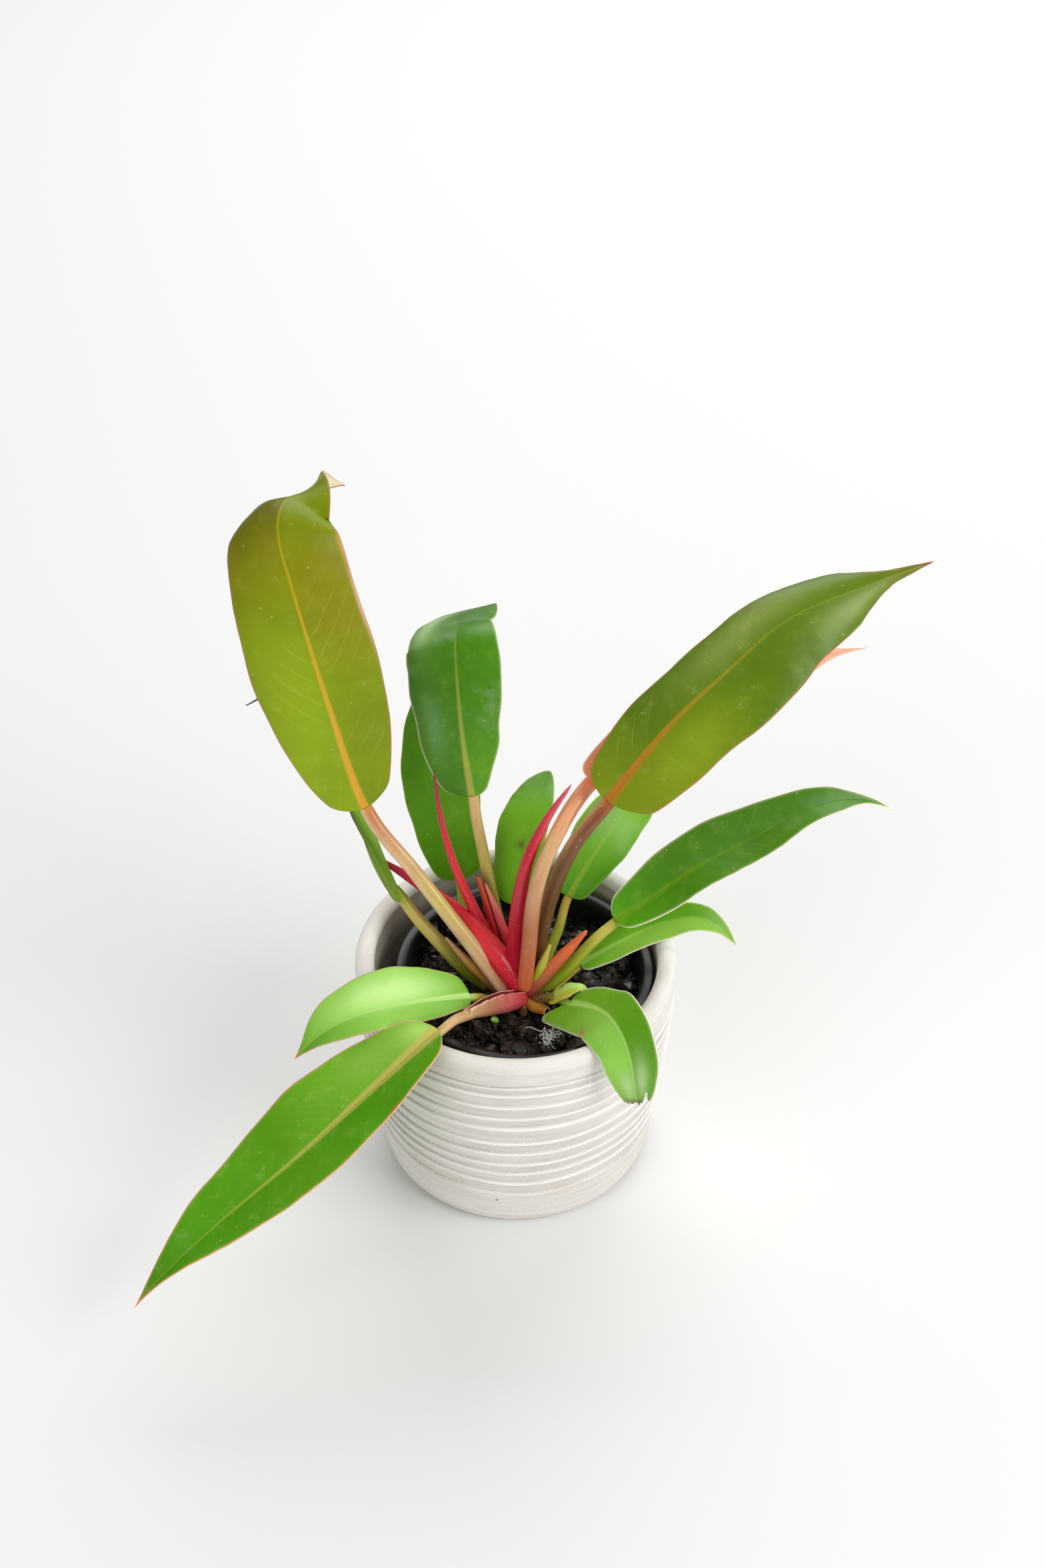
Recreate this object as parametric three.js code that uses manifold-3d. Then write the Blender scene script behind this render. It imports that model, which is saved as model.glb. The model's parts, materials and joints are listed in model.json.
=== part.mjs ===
import * as THREE from "three";
import { mergeVertices } from "three/addons/utils/BufferGeometryUtils.js";
import Module from "manifold-3d";

// A young prince of orange philodendron in its black nursery pot, inside a ribbed cover pot.
// Millimetres, +Z up and +Y towards the back. The origin is the middle of the cover pot's base.

// Clear space between pieces that touch on the real plant, and the shortest edge that a cut keeps.
const GAP = 0.3;
const SLIVER = 0.03;

// Cover pot: hand-thrown, with a round lip and throwing grooves down the wall.
const POT_HEIGHT = 118;
const LIP_RADIUS = 4.5;
const RIM_RADIUS = 75;
const BELLY_RADIUS = 65;
const FOOT_RADIUS = 62;
const FOOT_EDGE = [64, 1.2];
const FOOT_HEIGHT = 5;
const FOOT_BAND_TOP = 16;
const POT_FLOOR = 8;
const POT_FLOOR_RADIUS = 52;
const POT_WALL = 9;
const INNER_WALL_HEIGHTS = [80, 40, 14];
const GROOVE_HEIGHTS = [26, 35, 43, 50, 58, 66, 77, 84, 92, 100, 105];
const GROOVE_DEPTH = 1.1;
const BULGE = 0.3;
const COLLAR = 2.5;
const POT_SIDES = 36;
const LIP_STEPS = 6;

// Nursery pot: thin black plastic with a flat lip turned down at its edge.
const NURSERY_CENTRE = new THREE.Vector3(4, -2, 0);
const NURSERY_RIM = 60.3;
const NURSERY_TOP = 109.5;
const NURSERY_NECK = 56;
const NURSERY_BASE = 43;
const NURSERY_WALL = 1.2;
const NURSERY_SKIRT = 4;
const DRAIN_HOLES = 6;
const DRAIN_RADIUS = 4.5;
const DRAIN_CIRCLE = 29;
const DRAIN_SIDES = 10;
const NURSERY_SIDES = 32;

// Potting mix: its top is uneven and strewn with bark.
const SOIL_TOP = 96;
const SOIL_BUMP = 1.3;
const SOIL_RINGS = [0.88, 0.72, 0.54, 0.36, 0.18, 0];
const BARK_CHIPS = 18;
const BARK_SIZE = 3.4;
const BARK_SHAPE = [1.3, 0.8, 0.55];
const BARK_NEAREST = 24;
const BARK_FURTHEST = 46;
const BARK_TURN = 2.4;
const SOIL_SIDES = 32;

// Short stem that every leaf grows from, standing in a plain hole in the soil. Its nodes show as
// slight swellings.
const STEM_CENTRE = new THREE.Vector3(4, -7, 0);
const STEM_RADIUS = 7.5;
const STEM_WAIST = 0.8;
const STEM_BOTTOM = 72;
const STEM_TOP = 100;
const STEM_SWELLINGS = [78, 86];
const STEM_SIDES = 14;
const STEM_ROOM = 0.45;

// Leaf blades, which ripple along their margins, and stalks, which run on as a keel under them.
const BLADE_THICKNESS = 0.8;
const KEEL = 0.7;
const KEEL_FADE = 1.3;
const TIP_POWER = 1.9;
const DRIP_START = 0.78;
const LOBE_SPAN = 0.22;
const LOBE_POWER = 1.6;
const RIPPLES = 2.5;
const RIPPLE_SHIFT = 0.37;
const RIPPLE_EASE = 0.15;
const ROW_LENGTH = 13;
const FEWEST_ROWS = 7;
const MOST_ROWS = 17;
const WIDE_BLADE = 30;
const STALK_SIDES = 8;
const STALK_STEP = 14;
const SPINE_STEPS = 40;

// Each leaf: path is the line of stalk and midrib from the crown to the tip, and base is the point
// of it where the blade begins. Seen from above with the tip up, left and right are the half
// widths, widest says how far up the blade is full, taper how fast it narrows after that, drip how
// much its tip is drawn out, and heel how wide its base is. fold lifts a half from the midrib and
// curl bends it over towards its margin, both in degrees. These are lists from base to tip. face is
// the way the upper side looks. lobe is how far the base reaches back along the stalk, stalk holds
// the stalk's radii, and colour holds the blade's colour and the stalk's.
const LEAVES = {
  leaf_01: {
    path: [
      [-3, -9, 98], [-23, 0, 126], [-46, 12, 156], [-68, 20, 188], [-82, 27, 240], [-95, 38, 293],
      [-101, 50, 315], [-99, 67, 321], [-90, 84, 315], [-84, 99, 309], [-77, 112, 301],
    ],
    base: 3, face: [0.1, -0.85, 0.5], roll: [0, 0, 0, 0, 0, 0, 0, -110, -160],
    left: [26, 28, 29.5, 29.5, 29.5, 31, 24, 7, 8],
    right: [27, 28, 28.5, 27.5, 27, 30, 30, 18, 16],
    widest: 0.42, taperLeft: 0.85, taperRight: 0.8, heel: 0.2, drip: 0,
    foldLeft: [12, 8, 0, -14, -20], foldRight: [12, 10, 10, 10, 0],
    curlLeft: [20, 25, 40, 50, 30], curlRight: [20, 25, 25, 40, 30],
    wave: 1, phase: 0.2, lobeLeft: 1, lobeRight: 1, stalk: [3.9, 3.1],
    colour: [0x7d8522, 0xb8665a],
  },
  leaf_02: {
    path: [
      [1, 4, 90], [-9, 21, 121], [-16, 29, 159], [-20, 33, 184], [-24, 42, 212], [-26, 50, 234],
      [-27, 62, 249], [-25, 82, 247], [-9, 104, 242],
    ],
    base: 3, face: [-0.2, -0.85, 0.5], roll: [0],
    left: [24, 24, 25, 27, 28], right: [14, 19.5, 21, 20.5, 22],
    widest: 0.48, taperLeft: 0.8, taperRight: 0.8, heel: 0.28, drip: 0,
    foldLeft: [6, 6, 0, 14, 6], foldRight: [14, 14, 14, 14, -10],
    curlLeft: [25, 25, 30, 30, 35], curlRight: [25, 25, 35],
    wave: 0.8, phase: 0, lobeLeft: 1, lobeRight: 1, stalk: [3.2, 2.5],
    colour: [0x3f7a2a, 0xa07a50],
  },
  leaf_03: {
    path: [
      [-1, 0, 94], [-15, 15, 106], [-24, 28, 116], [-27, 38, 128], [-33, 48, 155], [-37, 58, 181],
      [-38, 72, 202], [-35, 90, 216],
    ],
    base: 3, face: [0, -0.85, 0.5], roll: [0],
    left: [17], right: [18.5], widest: 0.5, taperLeft: 0.8, taperRight: 0.8, heel: 0.3, drip: 0,
    foldLeft: [8], foldRight: [8], curlLeft: [20], curlRight: [20],
    wave: 0.8, phase: 0, lobeLeft: 1, lobeRight: 1, stalk: [3, 2.2],
    colour: [0x2f6a22, 0x8a9440],
  },
  leaf_04: {
    path: [
      [4, 0, 96], [2, 10, 102], [0, 18, 112], [-1, 25, 124], [2, 33, 145], [7, 44, 162],
      [16, 70, 169],
    ],
    base: 3, face: [-0.3, -0.8, 0.5], roll: [0],
    left: [14.5], right: [11.5, 11, 9.5, 8],
    widest: 0.55, taperLeft: 0.6, taperRight: 0.6, heel: 0.3, drip: 0,
    foldLeft: [5], foldRight: [20], curlLeft: [20], curlRight: [20],
    wave: 0.6, phase: 0, lobeLeft: 1, lobeRight: 1, stalk: [2.6, 1.8],
    colour: [0x4c8a2c, 0x8a9440],
  },
  leaf_05: {
    path: [
      [8, 0, 94], [14, 8, 104], [20, 16, 116], [25, 25, 129], [37, 36, 147], [51, 52, 158],
      [68, 76, 158],
    ],
    base: 3, face: [0.1, -0.85, 0.5], roll: [0],
    left: [13.5, 15.5, 18], right: [12, 13.5, 17],
    widest: 0.45, taperLeft: 0.9, taperRight: 0.9, heel: 0.3, drip: 0,
    foldLeft: [8], foldRight: [8], curlLeft: [15], curlRight: [15],
    wave: 0.6, phase: 0, lobeLeft: 1, lobeRight: 1, stalk: [2.8, 2],
    colour: [0x5b9a2f, 0x9aa648],
  },
  leaf_06: {
    path: [
      [7, -4, 96], [10, -1, 119], [15, 2, 146], [25, 6, 175], [41, 10, 200], [67, 22, 232],
      [94, 36, 254], [120, 50, 271], [155, 64, 279], [186, 76, 284],
    ],
    base: 4, face: [-0.15, -0.75, 0.65], roll: [0],
    left: [22.5, 20.5, 21.5], right: [28.5],
    widest: 0.42, taperLeft: 1, taperRight: 1.15, heel: 0.42, drip: 0.5,
    foldLeft: [10, 0, 0, 0], foldRight: [12, 14, 10, -10],
    curlLeft: [10, 45, 55, 50], curlRight: [10, 10, 30, 90],
    wave: 1, phase: 0, lobeLeft: 1, lobeRight: -3, stalk: [4, 3.4],
    colour: [0x5c6b1e, 0x8f5a3c],
  },
  leaf_07: {
    path: [
      [4, -11, 102], [6, -9, 129], [9, -5, 159], [18, 7, 182], [35, 25, 200], [71, 44, 222],
      [108, 64, 230], [141, 84, 226], [166, 98, 221],
    ],
    base: 4, face: [-0.1, -0.8, 0.5], roll: [0],
    left: [14], right: [13], widest: 0.34, taperLeft: 1.2, taperRight: 1.2, heel: 0.36, drip: 0.5,
    foldLeft: [30], foldRight: [30], curlLeft: [20], curlRight: [20],
    wave: 0.8, phase: 0, lobeLeft: 6, lobeRight: 1, stalk: [3.6, 3.5],
    colour: [0xe08a63, 0xd9876a],
  },
  leaf_08: {
    path: [
      [8, -8, 97], [22, -5, 108], [34, 0, 121], [46, 5, 132], [62, 10, 141], [84, 18, 154],
      [110, 28, 163], [136, 38, 173], [161, 46, 171], [180, 50, 161],
    ],
    base: 3, face: [0, -0.4, 0.9], roll: [0],
    left: [15.5, 17.5, 15.5, 14], right: [13],
    widest: 0.34, taperLeft: 1.3, taperRight: 1.05, heel: 0.3, drip: 0.5,
    foldLeft: [22], foldRight: [22], curlLeft: [12], curlRight: [12],
    wave: 0.8, phase: 0, lobeLeft: 1, lobeRight: 1, stalk: [3.4, 2.4],
    colour: [0x4f8f2a, 0x98a045],
  },
  leaf_09: {
    path: [
      [10, -8, 97], [17, -5, 99], [23, -1, 102], [30, 3, 106], [49, 7, 117], [66, 11, 124],
      [83, 13, 127], [95, 11, 123], [104, 8, 113],
    ],
    base: 3, face: [0, -0.45, 0.9], roll: [0],
    left: [8.5], right: [8.5], widest: 0.5, taperLeft: 0.9, taperRight: 0.9, heel: 0.3, drip: 0.3,
    foldLeft: [16], foldRight: [16], curlLeft: [15], curlRight: [15],
    wave: 0.6, phase: 0, lobeLeft: 1, lobeRight: 1, stalk: [2.8, 2],
    colour: [0x5b9a2f, 0x9aa648],
  },
  leaf_10: {
    path: [
      [5, -12, 96], [12, -17, 104], [18, -22, 109], [25, -28, 112], [37, -42, 122],
      [44, -57, 128], [50, -70, 122], [54.6, -77, 94],
    ],
    base: 3, face: [0, -0.4, 0.9], roll: [0],
    left: [9.5, 14.5, 14.5], right: [17, 15.5, 15],
    widest: 0.42, taperLeft: 0.5, taperRight: 0.5, heel: 0.5, drip: 0,
    foldLeft: [14], foldRight: [5], curlLeft: [10], curlRight: [20],
    wave: 0.8, phase: 0, lobeLeft: 0, lobeRight: 22, stalk: [2.6, 1.8],
    colour: [0x6a9a48, 0x9aa648],
  },
  leaf_11: {
    path: [
      [0, -12, 98], [-10, -27, 109], [-22, -43, 119], [-34, -58, 125], [-63, -78, 108],
      [-95, -98, 87], [-129, -120, 69], [-152, -136, 55], [-166, -147, 44],
    ],
    base: 3, face: [-0.1, -0.05, 1], roll: [0],
    left: [23], right: [25, 28, 24, 23],
    widest: 0.45, taperLeft: 1.6, taperRight: 1.15, heel: 0.2, drip: 0,
    foldLeft: [20], foldRight: [20], curlLeft: [14], curlRight: [14],
    wave: 0.8, phase: 0, lobeLeft: 0, lobeRight: 0, stalk: [3.4, 2.1],
    colour: [0x4f8f33, 0xb48a62],
  },
  leaf_12: {
    path: [
      [0, -6, 92], [-8, -10, 95], [-14, -16, 102], [-21, -25, 113], [-46, -37, 121],
      [-68, -45, 122], [-85, -50, 116], [-100, -53, 101],
    ],
    base: 3, face: [0, -0.35, 0.9], roll: [0],
    left: [12], right: [18], widest: 0.45, taperLeft: 1.3, taperRight: 1.2, heel: 0.15, drip: 0,
    foldLeft: [18], foldRight: [18], curlLeft: [12], curlRight: [12],
    wave: 0.8, phase: 0, lobeLeft: 0, lobeRight: 0, stalk: [2.8, 2],
    colour: [0x74b043, 0xa8ae58],
  },
  leaf_13: {
    path: [
      [-3, -3, 91], [-20, 2, 100], [-37, 8, 117], [-53, 15, 136], [-61, 22, 153], [-68, 30, 170],
      [-84, 46, 200], [-108, 60, 221], [-124.5, 62, 214],
    ],
    base: 3, face: [-0.95, -0.05, 0.3], roll: [0],
    left: [10.5], right: [10.5], widest: 0.4, taperLeft: 1.1, taperRight: 1.1, heel: 0.3, drip: 0.8,
    foldLeft: [35], foldRight: [35], curlLeft: [10], curlRight: [10],
    wave: 0.6, phase: 0, lobeLeft: 1, lobeRight: 1, stalk: [4.8, 2.8],
    colour: [0x5f8c2a, 0x8a8442],
  },
  leaf_14: {
    path: [
      [10, -9, 95], [13, -15, 101], [16, -20, 107], [20, -22.5, 112], [25, -23, 116],
      [30, -23, 117], [33.5, -22.5, 114],
    ],
    base: 2, face: [0, -0.4, 0.9], roll: [0],
    left: [4.5], right: [4.5], widest: 0.4, taperLeft: 1, taperRight: 1, heel: 0.4, drip: 0,
    foldLeft: [12], foldRight: [12], curlLeft: [35], curlRight: [35],
    wave: 0.4, phase: 0, lobeLeft: 1, lobeRight: 1, stalk: [1.8, 1.4],
    colour: [0xb4c45e, 0xb4c45e],
  },
};

// Each cataphyll, the sheath a leaf grew out of, or rolled new leaf: its path from the crown to
// its tip, and its radii from one end to the other.
const SHEATH_FACE = [0, -0.8, 0.6];
const SHEATHS = {
  rolled_leaf_left: {
    path: [[-1, 2, 95], [-10, 9, 110], [-20, 13, 134], [-28, 18, 154], [-34, 24, 177], [-37, 28, 204]],
    radii: [3.6, 3.2, 2.5, 1.8, 1.2, 0.4], colour: 0xaa2038,
  },
  rolled_leaf_right: {
    path: [[2, -5, 99], [0, -2, 129], [4, 3, 164], [13, 9, 188], [25, 14, 207]],
    radii: [4, 3.8, 3.2, 2.4, 0.6], colour: 0xbe3a48,
  },
  open_sheath_back: {
    path: [[-2, 6, 93], [-7, 13, 109], [-12, 18, 127], [-17, 22, 146]],
    radii: [3, 3.6, 3.2, 2.2], colour: 0xc23a3e,
  },
  wide_sheath_left: {
    path: [[3, -10, 101], [-5, -4, 112], [-17, 5, 123], [-28, 13, 131], [-45, 20, 142], [-66, 25, 155]],
    radii: [4.4, 6.2, 5.2, 3.6, 2.3, 0.6], colour: 0xbe2a48,
  },
  orange_sheath_right: {
    path: [[5, -12, 100], [15, -10, 114], [25, -6, 125], [33, -2, 133]],
    radii: [3, 3.2, 2.8, 0.8], colour: 0xd0604a,
  },
  green_sheath: {
    path: [[9, -11, 105], [12, -9, 116], [16, -6, 128]],
    radii: [3, 2.4, 0.6], colour: 0xa8b04a,
  },
  tan_sheath_left: {
    path: [[-6, -7, 97], [-21, -2, 111], [-33, 3, 124]],
    radii: [3, 2.6, 0.6], colour: 0xa0764a,
  },
  torn_sheath_front: {
    path: [[4, -12, 99], [-10, -26, 109], [-22, -43, 120]],
    radii: [4.4, 5.4, 5, 3.2], colour: 0xd27a7a,
  },
  brown_stub_front: {
    path: [[4, -14, 98], [10, -18, 99], [14.5, -22, 100]],
    radii: [3, 3.2, 2], colour: 0xb06a3c,
  },
};

const wasm = await Module();
wasm.setup();

// A closed three.js geometry as a solid.
function solidOf(geometry) {
  const bare = geometry.clone();
  bare.deleteAttribute("normal");
  bare.deleteAttribute("uv");
  const merged = mergeVertices(bare, 1e-4);
  const index = merged.index.array;
  const corners = [];
  for (let i = 0; i < index.length; i += 3) {
    const [a, b, c] = index.slice(i, i + 3);
    if (a !== b && b !== c && c !== a) corners.push(a, b, c);
  }
  return new wasm.Manifold(
    new wasm.Mesh({
      numProp: 3,
      vertProperties: merged.attributes.position.array,
      triVerts: new Uint32Array(corners),
    }),
  );
}

// A solid whose edges shorter than SLIVER are drawn together to a corner each.
function withoutSlivers(solid) {
  const { vertProperties, triVerts } = solid.getMesh();
  const corner = (i) => new THREE.Vector3().fromArray(vertProperties, 3 * i);
  const home = Array.from({ length: vertProperties.length / 3 }, (_, i) => i);
  const settled = (i) => (home[i] === i ? i : settled(home[i]));
  triVerts.forEach((a, i) => {
    const b = triVerts[i - (i % 3) + ((i + 1) % 3)];
    if (corner(a).distanceTo(corner(b)) < SLIVER) home[settled(b)] = settled(a);
  });
  const faces = new Map();
  for (let i = 0; i < triVerts.length; i += 3) {
    const face = [...triVerts.slice(i, i + 3)].map(settled);
    const key = [...face].sort((a, b) => a - b).join();
    if (new Set(face).size < 3 || faces.delete(key)) continue;
    faces.set(key, face);
  }
  return new wasm.Manifold(
    new wasm.Mesh({
      numProp: 3,
      vertProperties,
      triVerts: new Uint32Array([...faces.values()].flat()),
    }),
  );
}

// A solid as a mesh with its own material.
function meshOf(name, solid, material) {
  const made = solid.getMesh();
  const geometry = new THREE.BufferGeometry();
  geometry.setAttribute("position", new THREE.BufferAttribute(made.vertProperties, 3));
  geometry.setIndex(new THREE.BufferAttribute(made.triVerts, 1));
  geometry.computeVertexNormals();
  const mesh = new THREE.Mesh(geometry, new THREE.MeshStandardMaterial(material));
  mesh.name = name;
  return mesh;
}

// Turns an outline of [radius, height] points round the upright axis.
function turned(outline, sides) {
  const points = outline.map(([radius, height]) => new THREE.Vector2(radius, height));
  return new THREE.LatheGeometry(points, sides).rotateX(Math.PI / 2);
}

// The value at a share of the way along a list that is spread evenly from 0 to 1.
function along(list, share) {
  const place = THREE.MathUtils.clamp(share, 0, 1) * (list.length - 1);
  const low = Math.min(Math.floor(place), Math.max(list.length - 2, 0));
  const high = Math.min(low + 1, list.length - 1);
  return THREE.MathUtils.lerp(list[low], list[high], place - low);
}

// Cover pot

// The wall swells from the foot to the rim.
function potWallRadius(height) {
  const climb = Math.min(height / (POT_HEIGHT - LIP_RADIUS), 1);
  return BELLY_RADIUS + (RIM_RADIUS - BELLY_RADIUS) * Math.sin((climb * Math.PI) / 2) ** 1.1;
}

function coverPot() {
  const outline = [[0, 0], [FOOT_RADIUS, 0], FOOT_EDGE, [BELLY_RADIUS, FOOT_HEIGHT]];
  outline.push([potWallRadius(FOOT_BAND_TOP), FOOT_BAND_TOP]);
  GROOVE_HEIGHTS.forEach((height, i) => {
    outline.push([potWallRadius(height) - GROOVE_DEPTH, height]);
    const next = GROOVE_HEIGHTS[i + 1];
    const crest = next ? (height + next) / 2 : height + COLLAR;
    outline.push([potWallRadius(crest) + (next ? BULGE : 0), crest]);
  });
  const lipCentre = RIM_RADIUS - LIP_RADIUS;
  for (let i = 0; i <= LIP_STEPS; i += 1) {
    const angle = (Math.PI * i) / LIP_STEPS;
    outline.push([
      lipCentre + LIP_RADIUS * Math.cos(angle),
      POT_HEIGHT - LIP_RADIUS + LIP_RADIUS * Math.sin(angle),
    ]);
  }
  for (const height of INNER_WALL_HEIGHTS) {
    outline.push([potWallRadius(height) - POT_WALL, height]);
  }
  outline.push([POT_FLOOR_RADIUS, POT_FLOOR], [0, POT_FLOOR]);
  return solidOf(turned(outline, POT_SIDES));
}

// Nursery pot

const NURSERY_FLOOR = POT_FLOOR + GAP;

// The wall widens evenly from the base to the neck under the lip.
function nurseryWallRadius(height) {
  const climb = (height - NURSERY_FLOOR) / (NURSERY_TOP - NURSERY_FLOOR);
  return THREE.MathUtils.lerp(NURSERY_BASE, NURSERY_NECK, climb);
}

function nurseryPot() {
  const skirtFoot = NURSERY_TOP - NURSERY_SKIRT;
  const underLip = NURSERY_TOP - NURSERY_WALL;
  const insideFloor = NURSERY_FLOOR + NURSERY_WALL;
  const outline = [
    [0, NURSERY_FLOOR],
    [NURSERY_BASE, NURSERY_FLOOR],
    [nurseryWallRadius(underLip), underLip],
    [NURSERY_RIM - NURSERY_WALL, underLip],
    [NURSERY_RIM - NURSERY_WALL, skirtFoot],
    [NURSERY_RIM, skirtFoot],
    [NURSERY_RIM, NURSERY_TOP],
    [NURSERY_NECK - NURSERY_WALL, NURSERY_TOP],
    [nurseryWallRadius(insideFloor) - NURSERY_WALL, insideFloor],
    [0, insideFloor],
  ];
  let shell = solidOf(turned(outline, NURSERY_SIDES));
  for (let i = 0; i < DRAIN_HOLES; i += 1) {
    const angle = (2 * Math.PI * i) / DRAIN_HOLES;
    const hole = new THREE.CylinderGeometry(
      DRAIN_RADIUS, DRAIN_RADIUS, 4 * NURSERY_WALL, DRAIN_SIDES,
    );
    hole.rotateX(Math.PI / 2);
    hole.translate(
      DRAIN_CIRCLE * Math.cos(angle), DRAIN_CIRCLE * Math.sin(angle), NURSERY_FLOOR,
    );
    shell = shell.subtract(solidOf(hole));
  }
  return shell.translate(NURSERY_CENTRE.toArray());
}

// Soil and stem

// Gentle unevenness of the soil's top.
function soilBump(x, y) {
  const swell = Math.sin(x * 0.21 + 1) * Math.cos(y * 0.17) + 0.6 * Math.sin(x * 0.43 - y * 0.38);
  return SOIL_BUMP * swell;
}

// A repeatable list of numbers from 0 to 1.
function seededDraw(seed) {
  let state = seed;
  return () => {
    state = (state * 16807) % 2147483647;
    return state / 2147483647;
  };
}

function soil() {
  const floor = NURSERY_FLOOR + NURSERY_WALL + GAP;
  const inside = (height) => nurseryWallRadius(height) - NURSERY_WALL - GAP;
  const outline = [
    [0, floor],
    [inside(floor), floor],
    [inside(SOIL_TOP - 4), SOIL_TOP - 4],
    ...SOIL_RINGS.map((share) => [share * inside(SOIL_TOP), SOIL_TOP]),
  ];
  const geometry = turned(outline, SOIL_SIDES);
  const place = geometry.attributes.position;
  for (let i = 0; i < place.count; i += 1) {
    if (place.getZ(i) > SOIL_TOP - 1) {
      place.setZ(i, SOIL_TOP + soilBump(place.getX(i), place.getY(i)));
    }
  }
  let mix = solidOf(geometry);
  const draw = seededDraw(41);
  for (let i = 0; i < BARK_CHIPS; i += 1) {
    const angle = BARK_TURN * i;
    const share = Math.sqrt((i + 0.5) / BARK_CHIPS);
    const reach = THREE.MathUtils.lerp(BARK_NEAREST, BARK_FURTHEST, share);
    const x = reach * Math.cos(angle);
    const y = reach * Math.sin(angle);
    const chip = new THREE.IcosahedronGeometry(BARK_SIZE * (0.7 + 0.7 * draw()), 0);
    chip.scale(...BARK_SHAPE);
    chip.rotateX(draw() - 0.5);
    chip.rotateZ(2 * Math.PI * draw());
    chip.translate(x, y, SOIL_TOP + soilBump(x, y));
    mix = mix.add(solidOf(chip));
  }
  mix = mix.translate(NURSERY_CENTRE.toArray());
  const depth = SOIL_TOP + 10 - STEM_BOTTOM;
  const hole = new THREE.CylinderGeometry(
    STEM_RADIUS + GAP, STEM_RADIUS + GAP, depth, STEM_SIDES,
  );
  hole.rotateX(Math.PI / 2);
  hole.translate(STEM_CENTRE.x, STEM_CENTRE.y, STEM_BOTTOM + depth / 2);
  return mix.subtract(solidOf(hole));
}

function stem(grow) {
  const wide = STEM_RADIUS + grow;
  const waist = wide - STEM_WAIST;
  const foot = STEM_BOTTOM + GAP;
  const outline = [
    [0, foot],
    [waist, foot],
    ...STEM_SWELLINGS.flatMap((height) => [[wide, height], [waist, height + 3]]),
    [wide, STEM_TOP - 5 + grow],
    [wide - 2, STEM_TOP - 1.5 + grow],
    [0, STEM_TOP + grow],
  ];
  return solidOf(turned(outline, STEM_SIDES)).translate(STEM_CENTRE.toArray());
}

// Leaves

// The line of a stalk and its midrib: a smooth curve with a normal carried along it from the
// blade's base, where it is as near to face as a normal can be.
class Spine {
  constructor(path, face, base) {
    const points = path.map((point) => new THREE.Vector3(...point));
    this.curve = new THREE.CatmullRomCurve3(points, false, "catmullrom", 0.5);
    this.count = SPINE_STEPS * (points.length - 1);
    this.curve.arcLengthDivisions = this.count;
    this.lengths = this.curve.getLengths(this.count);
    this.length = this.lengths[this.count];
    this.base = this.lengths[SPINE_STEPS * base];
    this.normals = [];
    const start = SPINE_STEPS * base;
    this.carry(new THREE.Vector3(...face), start, this.count, 1);
    this.carry(this.normals[start], start, 0, -1);
  }

  carry(normal, from, to, step) {
    const carried = normal.clone();
    for (let i = from; i !== to + step; i += step) {
      carried.projectOnPlane(this.curve.getTangent(i / this.count)).normalize();
      this.normals[i] = carried.clone();
    }
  }

  // Place, direction, normal and side at a distance from the crown.
  at(distance) {
    const reach = THREE.MathUtils.clamp(distance, 0, this.length);
    const share = this.curve.getUtoTmapping(reach / this.length);
    const nearest = Math.min(Math.floor(share * this.count), this.count - 1);
    const point = this.curve.getPoint(share);
    const direction = this.curve.getTangent(share);
    const normal = this.normals[nearest]
      .clone()
      .lerp(this.normals[nearest + 1], share * this.count - nearest)
      .projectOnPlane(direction)
      .normalize();
    const side = direction.clone().cross(normal);
    return { point, direction, normal, side };
  }
}

// Half width at a share of the blade's length, as a share of its widest.
function bladeWidth(share, widest, taper, heel) {
  const rise = Math.sqrt(Math.max(0, 1 - (1 - Math.min(share / widest, 1)) ** 2));
  const beyond = Math.max(0, (share - widest) / (1 - widest));
  if (beyond >= 1) return 0;
  return (heel + (1 - heel) * rise) * (1 - beyond ** TIP_POWER) ** taper;
}

// A point of the blade's middle surface and the normal there. across runs from -1 at the left
// margin to 1 at the right one, and share from 0 at the base to 1 at the tip.
function bladePoint(leaf, spine, share, across) {
  const { point, direction, normal } = spine.at(spine.base + share * (spine.length - spine.base));
  normal.applyAxisAngle(direction, THREE.MathUtils.degToRad(along(leaf.roll, share)));
  const side = direction.clone().cross(normal).multiplyScalar(Math.sign(across) || 1);
  const right = across > 0;
  const most = along(right ? leaf.right : leaf.left, share);
  const drawn = THREE.MathUtils.clamp((2 * (share - DRIP_START)) / (1 - DRIP_START), 0, 1);
  const taper = right ? leaf.taperRight : leaf.taperLeft;
  const width = most * bladeWidth(share, leaf.widest, taper, leaf.heel) * (1 - leaf.drip * drawn);
  const fold = THREE.MathUtils.degToRad(along(right ? leaf.foldRight : leaf.foldLeft, share));
  const curl = THREE.MathUtils.degToRad(along(right ? leaf.curlRight : leaf.curlLeft, share));
  const reach = Math.abs(across);
  const bend = fold - curl * reach;
  const radius = width / curl;
  const out = radius * (Math.sin(fold) - Math.sin(bend));
  const ease = Math.min(1, share / RIPPLE_EASE, (1 - share) / RIPPLE_EASE);
  const turns = RIPPLES * share + leaf.phase + (right ? RIPPLE_SHIFT : 0);
  const ripple = leaf.wave * reach ** 2 * Math.sin(2 * Math.PI * turns) * ease;
  const up = radius * (Math.cos(bend) - Math.cos(fold)) + ripple;
  const lobe = right ? leaf.lobeRight : leaf.lobeLeft;
  const back = lobe * reach ** LOBE_POWER * Math.max(0, 1 - share / LOBE_SPAN) ** 2;
  point.addScaledVector(side, out).addScaledVector(normal, up).addScaledVector(direction, -back);
  const slope = across === 0 || share === 1 ? 0 : bend;
  const outward = side.clone().multiplyScalar(Math.cos(slope));
  outward.addScaledVector(normal, Math.sin(slope));
  const facing = normal.clone().multiplyScalar(Math.cos(slope));
  facing.addScaledVector(side, -Math.sin(slope));
  return { point, direction, outward, facing };
}

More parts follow.
